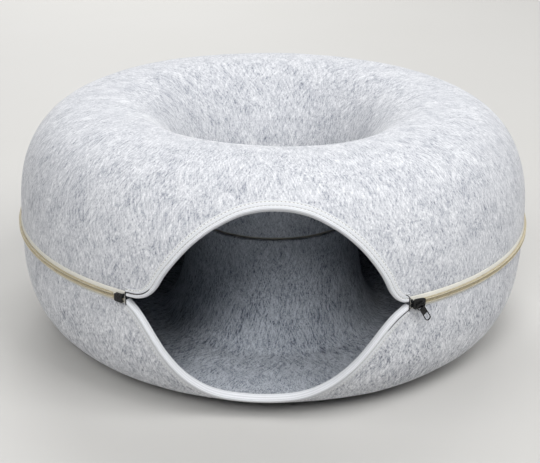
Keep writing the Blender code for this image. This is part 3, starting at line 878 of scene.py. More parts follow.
@dataclass
class FeltShell:
    """One moulded half shell: a turned wall of felt, slightly uneven, cut for the mouth."""

    form: BedForm
    half: Half
    ring_steps: int = 360
    section_spacing: float = 0.004
    fine_steps: int = 160
    rim_bulge: float = 0.0012
    rim_power: float = 0.6
    swell_scale: float = 11.0
    swell: float = 0.0011
    swell_shift: tuple[float, float, float] = (3.1, 7.7, 1.3)
    dimple_scale: float = 42.0
    dimple: float = 0.0003
    still_reach: Pair = (0.012, 0.04)
    foot_reach: float = 0.02
    work_radius: float = 0.16
    work_reach: float = 0.09
    cut_reach: float = 0.03
    cut_depth: float = 0.014
    apex_reach: float = 0.12
    apex_depth: float = 0.09
    section_middle: float = 0.164
    inner_limit: float = -0.3
    # Face attribute for the inner side, where the painted shade goes
    inner_mark: str = "inner_side"

    def outside(self) -> list[Pair]:
        """Return the section's outside from the outer rim to the hole's rim as (r, h)."""
        form, half, own = self.form, self.half, self.form.of(self.half)
        chains = []
        for start, wall, power in (
                (form.outer_rim, form.wall_radius, own.roundness),
                (own.hole_rim, form.hole_wall_radius, form.hole_roundness)):
            first = math.asin((start / own.height) ** (power / 2))
            turns = [first + (math.pi / 2 - first) * step / self.fine_steps
                     for step in range(self.fine_steps + 1)]
            heights = [min(own.height, own.height * math.sin(turn) ** (2 / power))
                       for turn in turns]
            chains.append([(wall(half, height), height) for height in heights])
        return even_steps(chains[0] + chains[1][::-1], self.section_spacing)

    def rim(self, outer: np.ndarray, inner: np.ndarray, onward: np.ndarray) -> list[np.ndarray]:
        """Return the points of a rounded rim from the felt's outer to its inner side."""
        middle, across = (outer + inner) / 2, (outer - inner) / 2
        points = []
        for degrees in (30.0, 60.0, 90.0, 120.0, 150.0):
            cos, sin = math.cos(math.radians(degrees)), math.sin(math.radians(degrees))
            points.append(middle + across * math.copysign(abs(cos) ** self.rim_power, cos)
                          + onward * self.rim_bulge * abs(sin) ** self.rim_power)
        return points

    def section(self) -> np.ndarray:
        """Return the closed section with its rounded rims, as rows of (r, signed rise)."""
        outside = np.array(self.outside())
        along = np.gradient(outside, axis=0)
        along /= np.linalg.norm(along, axis=1)[:, None]
        inside = outside + np.stack([-along[:, 1], along[:, 0]], axis=1) * self.form.felt
        rows = np.array([*outside, *self.rim(outside[-1], inside[-1], along[-1]),
                         *inside[::-1], *self.rim(outside[0], inside[0], -along[0])[::-1]])
        rows[:, 1] *= self.half.value
        return rows

    def build(self, finishes: Finishes) -> bpy.types.Object:
        """Spin the section, work the felt a little, cut the mouth and dress the shell."""
        form, half = self.form, self.half
        section = self.section()
        shell = add_mesh(f"{half.word}_felt_shell", bpy.ops.mesh.primitive_circle_add,
                         vertices=len(section), fill_type="NOTHING")
        set_points(shell, np.array([form.point(r, math.pi, rise) for r, rise in section]))
        edit_all(shell, lambda: bpy.ops.mesh.spin(
            steps=self.ring_steps, angle=2 * math.pi, center=(0.0, -form.axis_forward, 0.0),
            axis=(0.0, 0.0, 1.0)))
        turn_outwards(shell)
        self.work_felt(shell)
        self.cut_mouth(shell)
        self.mark_inner_side(shell)
        smooth(shell, 50.0)
        return dress(shell, finishes.felt, half.body, [f"{half.word}_shell"])

    def work_felt(self, shell: bpy.types.Object) -> None:
        """Give the felt its slight unevenness, away from rims and mouth."""
        form, half = self.form, self.half
        edge = [frame[0] for frame in form.mouth_frames(half, 3)]
        tree = kdtree.KDTree(len(edge))
        for index, point in enumerate(edge):
            tree.insert(point, index)
        tree.balance()
        points = get_points(shell)
        for row in points:
            spot = Vector(row)
            rise = abs(spot.z - form.parting_height)
            distance = tree.find(spot)[2]
            share = ease(*self.still_reach, rise) * ease(*self.still_reach, distance)
            if half is Half.LOWER:
                share *= ease(0.0, self.foot_reach, spot.z)
            if share <= 0:
                continue
            wave = noise.noise(spot * self.swell_scale + Vector(self.swell_shift)) * self.swell
            wave += noise.noise(spot * self.dimple_scale) * self.dimple
            level = Vector((spot.x, spot.y + form.axis_forward, 0.0))
            radius = level.length
            out = level / radius * (radius - self.work_radius) / self.work_reach
            out.z = (spot.z - form.parting_height) / form.upper.height
            row += np.array(out.normalized() * wave * share)
        set_points(shell, points)

    def cut_mouth(self, shell: bpy.types.Object) -> None:
        """Cut the mouth square to the felt with one lens-shaped cutter for both halves."""
        form = self.form
        upper = form.mouth_frames(Half.UPPER, 6)
        lower = form.mouth_frames(Half.LOWER, 6)
        loop = upper + lower[::-1]
        cutter = add_mesh("cutter", bpy.ops.mesh.primitive_cylinder_add, vertices=len(loop),
                          radius=1.0, depth=2.0, end_fill_type="TRIFAN")
        points = get_points(cutter)
        placed = np.zeros_like(points)
        for index, spot in enumerate(points):
            outer = spot[2] > 0
            if abs(spot[0]) + abs(spot[1]) < 0.5:
                depth = form.outer_radius + (self.apex_reach if outer else -self.apex_depth)
                placed[index] = (0.0, -depth, form.parting_height)
                continue
            turn = math.atan2(spot[1], spot[0]) % (2 * math.pi)
            point, outward, _ = loop[int(round(turn / (2 * math.pi) * len(loop))) % len(loop)]
            placed[index] = point + outward * (self.cut_reach if outer else -self.cut_depth)
        set_points(cutter, placed)
        turn_outwards(cutter)
        apply_modifier(shell, "BOOLEAN", object=cutter, operation="DIFFERENCE", solver="EXACT")
        bpy.data.objects.remove(cutter)

    def mark_inner_side(self, shell: bpy.types.Object) -> None:
        """Note on each face whether it is on the felt's inner side, which takes a painted shade."""
        faces = shell.data.polygons
        centres, normals = (np.zeros(len(faces) * 3, np.float32) for _ in range(2))
        faces.foreach_get("center", centres)
        faces.foreach_get("normal", normals)
        centres, normals = centres.reshape(-1, 3), normals.reshape(-1, 3)
        level = centres[:, :2] + (0.0, self.form.axis_forward)
        radius = np.linalg.norm(level, axis=1)[:, None]
        out = np.c_[level / radius * (radius - self.section_middle),
                    centres[:, 2] - self.form.parting_height]
        facing = (out * normals).sum(axis=1) / np.linalg.norm(out, axis=1)
        mark = shell.data.attributes.new(self.inner_mark, "FLOAT", "FACE")
        mark.data.foreach_set("value", (facing < self.inner_limit).astype(np.float32))


@dataclass
class MouthBinding:
    """Folded woven binding over the mouth's cut edge on one half, with its stitching."""

    form: BedForm
    half: Half
    width: float = 0.0072
    thickness: float = 0.0006
    gap: float = 0.0005
    nose: float = 0.0009
    nose_start: float = 0.0008
    roll: float = 0.001
    groove: float = 0.0026
    seam: float = 0.0059
    pillow: float = 0.00045
    stitch_pitch: float = 0.0031
    stitch_length: float = 0.0024
    thread_radius: float = 0.00028
    spacing: float = 0.0022
    flap_steps: int = 23
    nose_steps: int = 12
    nose_cloth: float = 0.003

    def lift(self, depth: float) -> float:
        """Return how far the cloth's middle stands off the felt at a depth from the edge."""
        base = self.thickness / 2 + self.gap * 0.3
        if depth < self.groove:
            return base + self.roll * math.sqrt(max(0.0, 1 - (depth / self.groove) ** 2.4))
        share = (depth - self.groove) / (self.seam - self.groove)
        if share < 1:
            return base + self.pillow * math.sin(math.pi * share) ** 0.6
        return base + self.pillow * 0.45 * math.sin(math.pi * min(1.0, (share - 1) * 2.2)) ** 0.6

    def cloth_point(self, frame: Frame, side: int, depth: float, extra: float = 0.0) -> Vector:
        """Return a point of the flap on the outer (1) or inner (-1) side of the felt."""
        point, _, into = frame
        surface, outward = self.form.near_mouth(self.half, point + into * depth)
        off = self.lift(depth) + extra
        return surface + outward * (off if side > 0 else -self.form.felt - off)

    def across(self, frame: Frame) -> list[Vector]:
        """Return the cloth's middle from the outer hem round the edge to the inner hem."""
        point, outward, into = frame
        half_wall = self.form.felt / 2
        depths = np.linspace(self.width, self.nose_start, self.flap_steps)
        line = [self.cloth_point(frame, 1, depth) for depth in depths]
        stand = half_wall + self.lift(self.nose_start)
        middle = point - outward * half_wall
        for step in range(1, self.nose_steps):
            turn = math.pi / 2 - math.pi * step / self.nose_steps
            reach = math.cos(turn) ** 0.85
            up = math.copysign(abs(math.sin(turn)) ** 0.9, math.sin(turn))
            line.append(middle + outward * stand * up
                        + into * (self.nose_start - (self.nose_start + self.nose) * reach))
        line += [self.cloth_point(frame, -1, depth) for depth in depths[::-1]]
        return line

    def build(self, finishes: Finishes) -> None:
        """Build the folded cloth and its two rows of stitches."""
        frames = self.form.mouth_frames(self.half, 8, self.spacing)
        rows = np.array([[list(point) for point in self.across(frame)] for frame in frames])
        lengths = lengths_along(rows[:, rows.shape[1] // 2])
        flap = np.linspace(self.width, self.nose_start, self.flap_steps)
        turns = np.linspace(-1, 1, self.nose_steps + 1)[1:-1]
        nose = self.nose_start - (1 - np.abs(turns)) * self.nose_cloth
        depths = np.r_[flap, nose, flap[::-1]]
        uv = np.stack(np.meshgrid(lengths, depths, indexing="ij"), axis=-1)
        cloth = sheet_through(f"{self.half.word}_folded_binding", rows, self.thickness, uv)
        dress(cloth, finishes.binding, self.half.body,
              [f"{self.half.word}_mouth_binding"])
        stations = self.form.mouth_frames(self.half, 8, self.stitch_pitch)[1:-1]
        for side, word in ((1, "outer"), (-1, "inner")):
            for depth, row in ((self.groove, "fold"), (self.seam, "hem")):
                spots = [(self.cloth_point(frame, side, depth, self.thickness / 2), frame)
                         for frame in stations]
                unit = thread_unit(self.stitch_length, self.thread_radius)
                places = [self.stitch_matrix(spots, index, side) for index in range(len(spots))]
                seam = scatter(f"{self.half.word}_{word}_{row}_stitches", unit, places)
                dress(seam, finishes.white_thread, self.half.body)

    def stitch_matrix(self, spots: list[tuple[Vector, Frame]], index: int, side: int) -> Matrix:
        """Return the placing matrix of one stitch, along the seam and flat on the cloth."""
        spot, (_, outward, _) = spots[index]
        ahead = spots[min(index + 1, len(spots) - 1)][0]
        behind = spots[max(index - 1, 0)][0]
        along = (ahead - behind).normalized()
        up = (outward * side - along * along.dot(outward * side)).normalized()
        return placing(spot + up * self.thread_radius * 0.3, along, up.cross(along), up)


@dataclass
class Zip:
    """A separating zip round the axis: tapes, coils, stops, box, pin, slider and pull."""

    form: BedForm
    name: str
    face: int
    tape_radius: float
    start: float
    sweep: float
    tape: float = 0.0008
    tape_width: float = 0.0155
    parting: float = 0.0006
    gap: float = 0.0003
    coil_width: float = 0.0025
    coil_height: float = 0.0024
    tooth_pitch: float = 0.0016
    tooth_reach: float = 0.0026
    sewing_radius: float = 0.00024
    head_gap: float = 0.00009
    tape_parting: float = 0.0002
    stop_length: float = 0.0022
    box_length: float = 0.0088
    box_wall: float = 0.001
    slider_length: float = 0.0122
    slider_width: float = 0.0102
    slider_plate: float = 0.0012
    slider_back: float = 0.0068
    slider_gap: float = 0.0006
    flange: float = 0.0009
    lip_gap: float = 0.0005
    web: float = 0.00016
    web_length: float = 0.004
    crown_share: float = 0.43
    crown_length: float = 0.006
    crown_width: float = 0.0011
    crown_metal: float = 0.0008
    crown_room: float = 0.0019
    pull_length: float = 0.0205
    pull_metal: float = 0.001
    pull_neck: float = 0.0078
    pull_tip: float = 0.0056
    pull_rim: float = 0.0008
    pull_crown_slot: float = 0.0042
    pull_tip_slot: float = 0.0072
    pull_drop: float = math.radians(57.0)
    pull_edge: float = 0.00025
    tape_step: float = 0.0006
    tape_run: float = 0.0035
    tooth_end: float = 0.00022
    tooth_share: float = 0.43
    tooth_slant: float = 0.16
    sewing_line: float = 0.68
    sewing_share: float = 0.96
    sewing_sink: float = 0.3
    stop_edge: float = 0.0004
    pin_edge: float = 0.0006
    box_taper: float = -0.14
    box_corner: float = 7.0
    slider_taper: float = 0.2
    slider_corner: float = 5.0
    flange_share: float = 0.8
    ridge_share: float = 0.46
    ridge_width: float = 0.0012
    ridge_height: float = 0.00025
    ridge_sink: float = 0.0004
    small_edge: float = 0.0002
    crown_corner: float = 0.0009
    crown_edge: float = 0.00022

    @property
    def length(self) -> float:
        """Return the tape's length."""
        return self.sweep * self.tape_radius

    @property
    def coil_low(self) -> float:
        """Return how far the coil's foot stands out from the tape's middle."""
        return self.tape / 2 + self.gap

    @property
    def coil_top(self) -> float:
        """Return how far the coil's top stands out from the tape's middle."""
        return self.coil_low + self.coil_height

    @property
    def coil_edge(self) -> float:
        """Return how far the coil reaches from the parting plane."""
        return self.parting + self.coil_width

    def at(self, along: float, across: float, out: float) -> Vector:
        """Return the place of a length along the tape, a rise and a stand-out."""
        return self.form.point(self.tape_radius + self.face * out,
                               self.start + along / self.tape_radius, across)

    def level_axes(self, along: float) -> tuple[Vector, Vector]:
        """Return the level directions on along the chain and away from the felt."""
        angle = self.start + along / self.tape_radius
        return (Vector((math.cos(angle), math.sin(angle), 0.0)),
                Vector((math.sin(angle), -math.cos(angle), 0.0)) * self.face)

    def axes_at(self, along: float, out: float, rise: float = 0.0) -> Matrix:
        """Return the matrix at a place on the chain: X along it, Y up, Z away from the felt."""
        onward, outward = self.level_axes(along)
        return placing(self.at(along, rise, out), onward, Vector((0.0, 0.0, 1.0)), outward)

    def mount(self, piece: bpy.types.Object, along: float, out: float,
              surface: bpy.types.Material, body: str, word: str) -> None:
        """Put a flat-made piece on the chain and dress it in place of one of the zip's nodes.

        Args:
            piece: the piece, made flat at the origin.
            along: its place along the chain.
            out: how far its origin stands out from the tape's middle.
            surface: its material.
            body: the body that it rides on.
            word: the node's name without the zip's name.
        """
        place_piece(piece, self.axes_at(along, out))
        smooth(piece)
        dress(piece, surface, body, [f"{self.name}_{word}"])

    def tape_profile(self, half: Half) -> list[Pair]:
        """Return the tape's middle line as (r, height) from the chain to its sewn edge."""
        raise NotImplementedError

    def build_tapes(self, finishes: Finishes) -> None:
        """Build both tapes as bent sheets of woven cloth."""
        for half in Half:
            line = even_steps(self.tape_profile(half), self.tape_step)
            turns = np.linspace(0.0, self.length, int(self.length / self.tape_run))
            rows = np.array([[list(self.form.point(radius, self.start + turn / self.tape_radius,
                                                   half.value * height))
                              for radius, height in line] for turn in turns])
            uv = np.stack(np.meshgrid(turns, lengths_along(np.array(line)), indexing="ij"), axis=-1)
            cloth = sheet_through(f"{self.name}_{half.word}_woven_tape", rows, self.tape, uv)
            dress(cloth, finishes.tape, half.body, [f"{self.name}_{half.word}_tape"])

    def tooth(self) -> bpy.types.Object:
        """Return one turn of a coil: a flat loop across the chain, a little aslant."""
        piece = add_mesh("tooth", bpy.ops.mesh.primitive_uv_sphere_add, segments=8,
                         ring_count=6, radius=1.0)
        points = get_points(piece)
        ends = np.sign(np.round(points[:, 2], 3))
        reach = (self.tooth_reach - self.head_gap) / 2
        across = points[:, 2] * self.tooth_end + ends * (reach - self.tooth_end)
        along = points[:, 0] * self.tooth_pitch * self.tooth_share + across * self.tooth_slant
        out = points[:, 1] * self.coil_height / 2
        set_points(piece, np.stack([along, across, out], axis=1))
        turn_outwards(piece)
        return piece

    def build_coils(self, finishes: Finishes) -> None:
        """Build the turns of both coils, the lower ones half a pitch on, and their stitches."""
        low = self.gap * 2 + self.stop_length
        for half in Half:
            end = self.length - self.gap
            if half is Half.UPPER:
                end -= self.box_length + self.gap
            count = int((end - low - self.tooth_pitch * 1.5) / self.tooth_pitch)
            first = low + self.tooth_pitch * (1 - half.value / 4)
            flip = Matrix.Diagonal((1.0, float(half.value), float(half.value), 1.0))
            rise = half.value * (self.tooth_reach + self.head_gap) / 2
            turns = [self.axes_at(first + index * self.tooth_pitch,
                                  (self.coil_low + self.coil_top) / 2, rise) @ flip
                     for index in range(count)]
            coil = scatter(f"{self.name}_{half.word}_coil_turns", self.tooth(), turns)
            dress(coil, finishes.coil, half.body, [f"{self.name}_{half.word}_coil"])
            sewn = [self.axes_at(first + (index + 0.5) * self.tooth_pitch,
                                 self.coil_top - self.sewing_radius * self.sewing_sink,
                                 half.value * self.tooth_reach * self.sewing_line)
                    for index in range(count - 1)]
            unit = thread_unit(self.tooth_pitch * self.sewing_share, self.sewing_radius)
            stitches = scatter(f"{self.name}_{half.word}_coil_stitches", unit, sewn)
            dress(stitches, finishes.sewing, half.body)

    def build_ends(self, finishes: Finishes) -> None:
        """Build the two crimped stops, the pin and the retainer box."""
        reach = self.stop_length / 2
        for half in Half:
            low, high = sorted((half.value * self.parting, half.value * self.coil_edge))
            stop = rounded_block(f"{self.name}_{half.word}_crimped_stop", (-reach, low, 0.0),
                                 (reach, high, self.coil_height), self.stop_edge, 3)
            self.mount(stop, self.gap + reach, self.coil_low, finishes.metal, half.body,
                       f"{half.word}_stop")
        reach = self.box_length / 2
        middle = self.length - self.gap - reach
        pin = rounded_block(f"{self.name}_zip_pin", (-reach, self.parting, 0.0),
                            (reach, self.coil_edge, self.coil_height), self.pin_edge, 3)
        self.mount(pin, middle, self.coil_low, finishes.metal, Half.UPPER.body, "pin")
        width = self.coil_edge + self.gap + self.flange * self.flange_share
        box = self.channel(f"{self.name}_retainer_box", self.box_length, 2 * width,
                           self.box_wall, self.box_length - self.box_wall / 2, self.box_taper,
                           self.box_corner)
        self.mount(box, middle, 0.0, finishes.lacquer, Half.LOWER.body, "box")

    def channel(self, name: str, length: float, width: float, plate: float, web_length: float,
                taper: float, corner: float) -> bpy.types.Object:
        """Return a flat-made channel: face plate, back plate, web and lower flange.

        Args:
            name: the piece's name.
            length: size along the chain.
            width: size of the face plate across the chain.
            plate: thickness of both plates.
            web_length: length of the web that parts the two chains.
            taper: share of the width lost at the far end, or at the near end when negative.
            corner: how square the face plate's corners are.

        Returns:
            The channel, made flat at the origin.
        """
        face = self.coil_top + self.slider_gap
        back = -self.tape / 2 - self.slider_gap
        half = length / 2
        front = rounded_plate(name, length, width, face, face + plate, taper, corner)
        flange_in = self.coil_edge + self.gap
        flange = rounded_block(f"{name}_flange", (-half * self.flange_share,
                                                  -flange_in - self.flange * 0.7,
                                                  self.tape / 2 + self.lip_gap),
                               (half * self.flange_share, -flange_in, face + plate / 2),
                               self.small_edge)
        rear = rounded_plate(f"{name}_back", length, self.slider_back, back - plate, back, 0.0,
                             corner)
        web = rounded_block(f"{name}_web", (-half + plate / 2, -self.web / 2, back - plate / 2),
                            (-half + web_length, self.web / 2, face + plate / 2),
                            self.web / 4, 1)
        return join_pieces(name, [front, flange, rear, web])

    def build_slider(self, finishes: Finishes) -> None:
        """Build the slider with its crown, and its pull hooked under the crown."""
        name = f"{self.name}_slider_body"
        middle = self.stop_length / 2 + self.slider_length / 2
        body = self.channel(name, self.slider_length, self.slider_width, self.slider_plate,
                            self.web_length, self.slider_taper, self.slider_corner)
        top = self.coil_top + self.slider_gap + self.slider_plate
        hook = self.slider_length * (self.crown_share - 0.5)
        reach = self.slider_length * self.ridge_share
        crown = self.crown(hook, top)
        ridge = rounded_block("ridge", (-reach, -self.ridge_width, top - self.ridge_sink),
                              (reach, self.ridge_width, top + self.ridge_height),
                              self.small_edge)
        body = join_pieces(name, [body, crown, ridge])
        self.mount(body, middle, 0.0, finishes.lacquer, f"{self.name}_slider",
                   "slider")
        self.build_pull(finishes, middle + hook, top + self.crown_room / 2)

    def crown(self, hook: float, plate_top: float) -> bpy.types.Object:
        """Return the crown: a low arch of strap along the slider that holds the pull."""
        reach = self.crown_length / 2 - self.crown_metal / 2
        top = self.crown_room + self.crown_metal / 2
        corner = self.crown_corner
        line = [(-reach, -self.slider_plate / 2), (-reach, top - corner)]
        for step in range(1, 6):
            turn = math.pi / 2 * step / 6
            line.append((-reach + corner * (1 - math.cos(turn)),
                         top - corner + corner * math.sin(turn)))
        line += [(-along, out) for along, out in reversed(line)]
        rows = np.array([[[hook + along, across, plate_top + out]
                          for across in (-self.crown_width / 2, self.crown_width / 2)]
                         for along, out in line])
        strap = sheet_through("crown", rows, self.crown_metal)
        apply_modifier(strap, "BEVEL", width=self.crown_edge, segments=2, limit_method="ANGLE",
                       angle_limit=math.radians(50.0))
        return strap

    def build_pull(self, finishes: Finishes, along: float, lift: float) -> None:
        """Build the flat pull: a loop for the crown, a neck and a long slotted tip."""
        bar = self.pull_rim / 2
        slot_end = bar + self.pull_crown_slot
        tip_end = self.pull_length - self.pull_rim
        neck, tip = self.pull_neck / 2, self.pull_tip / 2
        curl, inner = self.pull_rim * 1.3, self.pull_rim * 0.6
        outline = [
            *self.arc(-bar + curl, -neck + curl, curl, 180.0, 270.0),
            *self.arc(slot_end - curl, -neck + curl, curl, 270.0, 330.0),
            *self.rounded(slot_end + self.pull_rim, self.pull_length - bar, tip),
            *self.arc(slot_end - curl, neck - curl, curl, 30.0, 90.0),
            *self.arc(-bar + curl, neck - curl, curl, 90.0, 180.0)]
        side = neck - self.pull_rim - inner
        crown_slot = [point for x, y, turn in (
            (bar + inner, -side, 180.0), (slot_end - inner, -side, 270.0),
            (slot_end - inner, side, 0.0), (bar + inner, side, 90.0))
            for point in self.arc(x, y, inner, turn, turn + 90.0)]
        tip_slot = self.rounded(tip_end - bar - self.pull_tip_slot, tip_end - bar,
                                tip - self.pull_rim)
        pull = curve_piece(f"{self.name}_slider_pull", [outline, crown_slot, tip_slot], True,
                           dimensions="2D", fill_mode="BOTH",
                           extrude=self.pull_metal / 2 - self.pull_edge,
                           bevel_depth=self.pull_edge, bevel_resolution=2,
                           offset=-self.pull_edge)
        onward, outward = self.level_axes(along)
        down = onward * math.cos(self.pull_drop) - Vector((0, 0, math.sin(self.pull_drop)))
        place_piece(pull, placing(self.at(along, 0.0, lift), down, outward.cross(down), outward))
        smooth(pull)
        dress(pull, finishes.lacquer, f"{self.name}_pull", [f"{self.name}_pull"])

    def arc(self, x: float, y: float, radius: float, start: float,
            end: float) -> list[tuple[float, float, float]]:
        """Return points on a level arc between two angles in degrees."""
        turns = np.radians(np.linspace(start, end, 6))
        return [(x + radius * math.cos(turn), y + radius * math.sin(turn), 0.0)
                for turn in turns]

    def rounded(self, start: float, end: float, half_width: float,
                steps: int = 14) -> list[tuple[float, float, float]]:
        """Return a closed level outline along X with a round far end."""
        centre = end - half_width
        outline = [(start, -half_width, 0.0), (centre, -half_width, 0.0)]
        for step in range(1, steps):
            turn = -math.pi / 2 + math.pi * step / steps
            outline.append((centre + half_width * math.cos(turn),
                            half_width * math.sin(turn), 0.0))
        return outline + [(centre, half_width, 0.0), (start, half_width, 0.0)]

    def build(self, finishes: Finishes) -> None:
        """Build the whole zip."""
        self.build_tapes(finishes)
        self.build_coils(finishes)
        self.build_ends(finishes)
        self.build_slider(finishes)


@dataclass
class OuterZip(Zip):
    """The zip round the outside, whose tapes turn in behind the felt's rims."""

    proud: float = 0.0008

    @classmethod
    def on(cls, form: BedForm) -> "OuterZip":
        """Return the zip that runs from one corner of the mouth round to the other."""
        corner = math.asin(form.mouth_half_width / form.outer_radius)
        start = corner + 2 * cls.gap / form.outer_radius
        return cls(form, "outer", 1, form.outer_radius - cls.gap, start, 2 * (math.pi - start))

    def tape_profile(self, half: Half) -> list[Pair]:
        """Return the middle line: up the face, in under the rim and up behind the felt."""
        form = self.form
        bend = form.outer_rim - self.gap / 2 - self.tape / 2
        off = form.felt + 2 * self.gap + self.tape / 2
        behind = [(form.wall_radius(half, height) - off, height)
                  for height in (form.outer_rim + 0.001, self.tape_width + self.parting)]
        raised = self.tape_radius + self.proud
        return [(raised, self.tape_parting), (raised, self.tooth_reach - 0.0006),
                (self.tape_radius + 0.0002, bend - 0.0007), (self.tape_radius - 0.0005, bend),
                (behind[0][0] + 0.0006, bend), (behind[0][0], bend + 0.0008), *behind]


@dataclass
class HoleZip(Zip):
    """The zip round the hole, sewn flat on the hole's side of both shells."""

    start_angle: float = math.radians(184.0)

    @classmethod
    def on(cls, form: BedForm) -> "HoleZip":
        """Return the zip that runs round the hole from the back to the back."""
        return cls(form, "inner", -1, form.hole_radius - cls.gap - cls.tape / 2, cls.start_angle,
                   2 * math.pi - 2 * (cls.start_angle - math.pi))

    def tape_profile(self, half: Half) -> list[Pair]:
        """Return the middle line, which follows the hole's wall."""
        off = self.gap + self.tape / 2
        return [(self.form.hole_wall_radius(half, height) - off, height)
                for height in np.linspace(self.tape_parting, self.tape_width + self.parting,
                                          12).tolist()]


@dataclass
class CornerTacks:
    """Black thread that tacks the zip's ends down at both corners of the mouth."""

    form: BedForm
    zipper: Zip
    radius: float = 0.00035
    bar_off: float = 0.0012
    bar_reach: float = 0.0062
    bar_sink: float = 0.0008
    bar_share: float = 1.3
    start_off: float = 0.0002
    start_run: float = 0.0016
    start_rise: float = 0.0036
    step: float = 0.002

    def build(self, finishes: Finishes) -> None:
        """Build the bars at both corners and the loose runs that go on along the bindings."""
        zipper = self.zipper
        top = zipper.coil_top - self.bar_sink
        for side, along in (("left", zipper.length + self.bar_off), ("right", -self.bar_off)):
            for half in Half:
                bar = [zipper.at(along, half.value * height, top - height * 0.05)
                       for height in np.linspace(zipper.gap, self.bar_reach, 4)]
                self.sew(finishes, f"{side}_{half.word}_bar_tack", half, bar,
                         self.radius * self.bar_share)
        for side, half, count, depths in (("left", Half.UPPER, 13, (0.0036, 0.0027)),
                                          ("right", Half.UPPER, 3, (0.0056, 0.0062)),
                                          ("right", Half.LOWER, 13, (0.0022, 0.0026))):
            self.sew(finishes, f"{side}_{half.word}_tack_thread", half,
                     self.run(half, side == "left", count, depths), self.radius)

    def run(self, half: Half, left: bool, count: int, depths: Pair) -> list[Vector]:
        """Return the points of one thread that runs from the tape on along the binding.

        Args:
            half: the half that it is sewn to.
            left: whether it starts at the left corner of the mouth, or else at the right one.
            count: steps along the binding.
            depths: how far in from the cut edge it lies at its start and at its end.

        Returns:
            The thread's points, from the tape on.
        """
        zipper = self.zipper
        binding = MouthBinding(self.form, half)
        frames = self.form.mouth_frames(half, 8, self.step)
        chosen = frames[1:1 + count] if left else frames[-1 - count:-1][::-1]
        along = zipper.length - self.start_off if left else self.start_off
        inward = -self.start_run if left else self.start_run
        points = [zipper.at(place, half.value * self.start_rise,
                            zipper.coil_low + zipper.tape + self.radius)
                  for place in (along + inward, along)]
        for index, frame in enumerate(chosen):
            depth = depths[0] + (depths[1] - depths[0]) * index / max(1, len(chosen) - 1)
            points.append(binding.cloth_point(frame, 1, depth,
                                              binding.thickness / 2 + self.radius * 0.7))
        return points

    def sew(self, finishes: Finishes, name: str, half: Half, points: Sequence[Vector],
            radius: float) -> None:
        """Build one thread through points and dress it.

        Args:
            finishes: gives the thread's material.
            name: the piece's name.
            half: the half that it is sewn to.
            points: what the thread runs through.
            radius: the thread's radius.
        """
        piece = curve_piece(name, [points], False, dimensions="3D", bevel_depth=radius,
                            bevel_resolution=2, use_fill_caps=True, resolution_u=6)
        smooth(piece, 60.0)
        dress(piece, finishes.black_thread, half.body)


# Floor, light and camera


@dataclass(frozen=True)
class SoftLamp:
    """One square softbox, placed by its direction from the bed in degrees."""

    name: str
    azimuth: float
    elevation: float
    size: float
    power: float


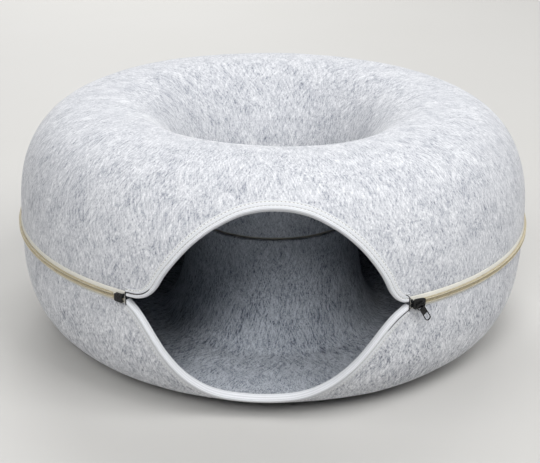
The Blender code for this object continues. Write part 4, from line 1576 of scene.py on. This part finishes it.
@dataclass
class Studio:
    """Plain pale floor, soft light and the camera at the photograph's angle."""

    form: BedForm
    floor_color: str = "#B9B8B5"
    floor_cloud: str = "#BCBBB9"
    backdrop: str = "#F3F2EF"
    floor_radius: float = 3.2
    floor_height: float = -0.0004
    ambient: str = "#EEF1F6"
    ambient_strength: float = 0.01
    lamps: tuple[SoftLamp, ...] = (
        SoftLamp("front_high", 8.0, 58.0, 1.5, 24.0),
        SoftLamp("front_low", -12.0, 39.0, 0.93, 43.0),
        SoftLamp("right_fill", 55.0, 48.0, 1.85, 71.0),
        SoftLamp("left_fill", -60.0, 40.0, 1.85, 21.0),
        SoftLamp("rear_top", 170.0, 55.0, 2.0, 41.0),
        SoftLamp("rear_low", 195.0, 26.0, 1.6, 42.0))
    lamp_distance: float = 3.2
    lamp_aim: float = 0.1
    image_width: float = 540.0
    focal_pixels: float = 1162.36
    pitch: float = math.radians(22.8917)
    yaw: float = math.radians(-0.2923)
    roll: float = math.radians(0.6737)
    camera_place: tuple[float, float, float] = (0.0030, -1.0888, 0.5433)
    bed_turn: float = math.radians(0.8)

    def build(self) -> None:
        """Build floor, world, lights and camera."""
        self.build_floor()
        self.build_world()
        self.build_lights()
        self.build_camera()

    def build_floor(self) -> None:
        """Lay the floor just under the bed."""
        floor = add_mesh("pale_floor", bpy.ops.mesh.primitive_circle_add, vertices=128,
                         radius=self.floor_radius, fill_type="NGON")
        floor.location.z = self.floor_height
        # Pale matt paint with faint clouds, so that the floor isn't one flat tone
        made, tree, shader = new_material("pale_painted_floor")
        grain = add_node(tree, "TexNoise", {
            "Vector": add_node(tree, "TexCoord", {}, "Object"), "Scale": 3.0, "Detail": 2.0},
            "Fac")
        color = add_node(tree, "Mix", {
            0: grain, 6: linear(self.floor_color), 7: linear(self.floor_cloud)}, 2,
            data_type="RGBA")
        feed(shader, {"Base Color": color, "Roughness": 0.7, "Specular IOR Level": 0.2})
        floor.data.materials.append(made)

    def build_world(self) -> None:
        """Light all round softly, and show a pale background to the camera."""
        world = bpy.data.worlds.new("soft_room")
        bpy.context.scene.world = world
        world.use_nodes = True
        tree = world.node_tree
        tree.nodes.clear()
        seen, glossy, through = (add_node(tree, "LightPath", {}, f"Is {kind} Ray")
                                 for kind in ("Camera", "Glossy", "Transmission"))
        for other in (glossy, through):
            seen = add_node(tree, "Math", {0: seen, 1: other}, operation="MAXIMUM")
        room, backdrop = (
            add_node(tree, "Background", {"Color": linear(color), "Strength": strength})
            for color, strength in ((self.ambient, self.ambient_strength), (self.backdrop, 1.0)))
        mixed = add_node(tree, "MixShader", {0: seen, 1: room, 2: backdrop})
        feed(tree.nodes.new("ShaderNodeOutputWorld"), {"Surface": mixed})

    def build_lights(self) -> None:
        """Hang the softboxes round the bed, each turned to it."""
        aim = Vector((0.0, 0.0, self.lamp_aim))
        for lamp in self.lamps:
            azimuth, elevation = math.radians(lamp.azimuth), math.radians(lamp.elevation)
            level = math.cos(elevation)
            away = Vector((math.sin(azimuth) * level, -math.cos(azimuth) * level,
                           math.sin(elevation)))
            data = bpy.data.lights.new(f"{lamp.name}_softbox", "AREA")
            set_all(data, {"shape": "SQUARE", "size": lamp.size, "energy": lamp.power})
            holder = add_object(data.name, data)
            holder.location = aim + away * self.lamp_distance
            holder.rotation_euler = (-away).to_track_quat("-Z", "Y").to_euler()

    def build_camera(self) -> None:
        """Place the camera from its pitch, yaw, roll and focal length in pixels."""
        right = Vector((math.cos(self.yaw), -math.sin(self.yaw), 0.0))
        level = Vector((math.sin(self.yaw), math.cos(self.yaw), 0.0))
        rise = Vector((0.0, 0.0, 1.0))
        forward = level * math.cos(self.pitch) - rise * math.sin(self.pitch)
        up = level * math.sin(self.pitch) + rise * math.cos(self.pitch)
        cos, sin = math.cos(self.roll), math.sin(self.roll)
        seen = placing(Vector(self.camera_place), right * cos + up * sin,
                       up * cos - right * sin, -forward)
        turn = Matrix.Rotation(self.bed_turn, 4, "Z")
        data = bpy.data.cameras.new("photo_camera")
        data.sensor_width = 36.0
        set_all(data, {"sensor_fit": "HORIZONTAL", "clip_end": 50.0,
                       "lens": data.sensor_width * self.focal_pixels / self.image_width})
        camera = add_object(data.name, data)
        camera.matrix_world = (Matrix.Translation((0.0, -self.form.axis_forward, 0.0))
                               @ turn @ seen)
        bpy.context.scene.camera = camera


def main() -> None:
    """Load the frame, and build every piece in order."""
    logging.basicConfig(level=logging.INFO, format="%(name)s: %(message)s")
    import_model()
    bpy.context.scene.view_settings.view_transform = "Standard"
    form = BedForm()
    Studio(form).build()
    finishes = Finishes(form)
    for half in Half:
        FeltShell(form, half).build(finishes)
        MouthBinding(form, half).build(finishes)
    outer = OuterZip.on(form)
    outer.build(finishes)
    HoleZip.on(form).build(finishes)
    CornerTacks(form, outer).build(finishes)


if __name__ == "__main__":
    main()
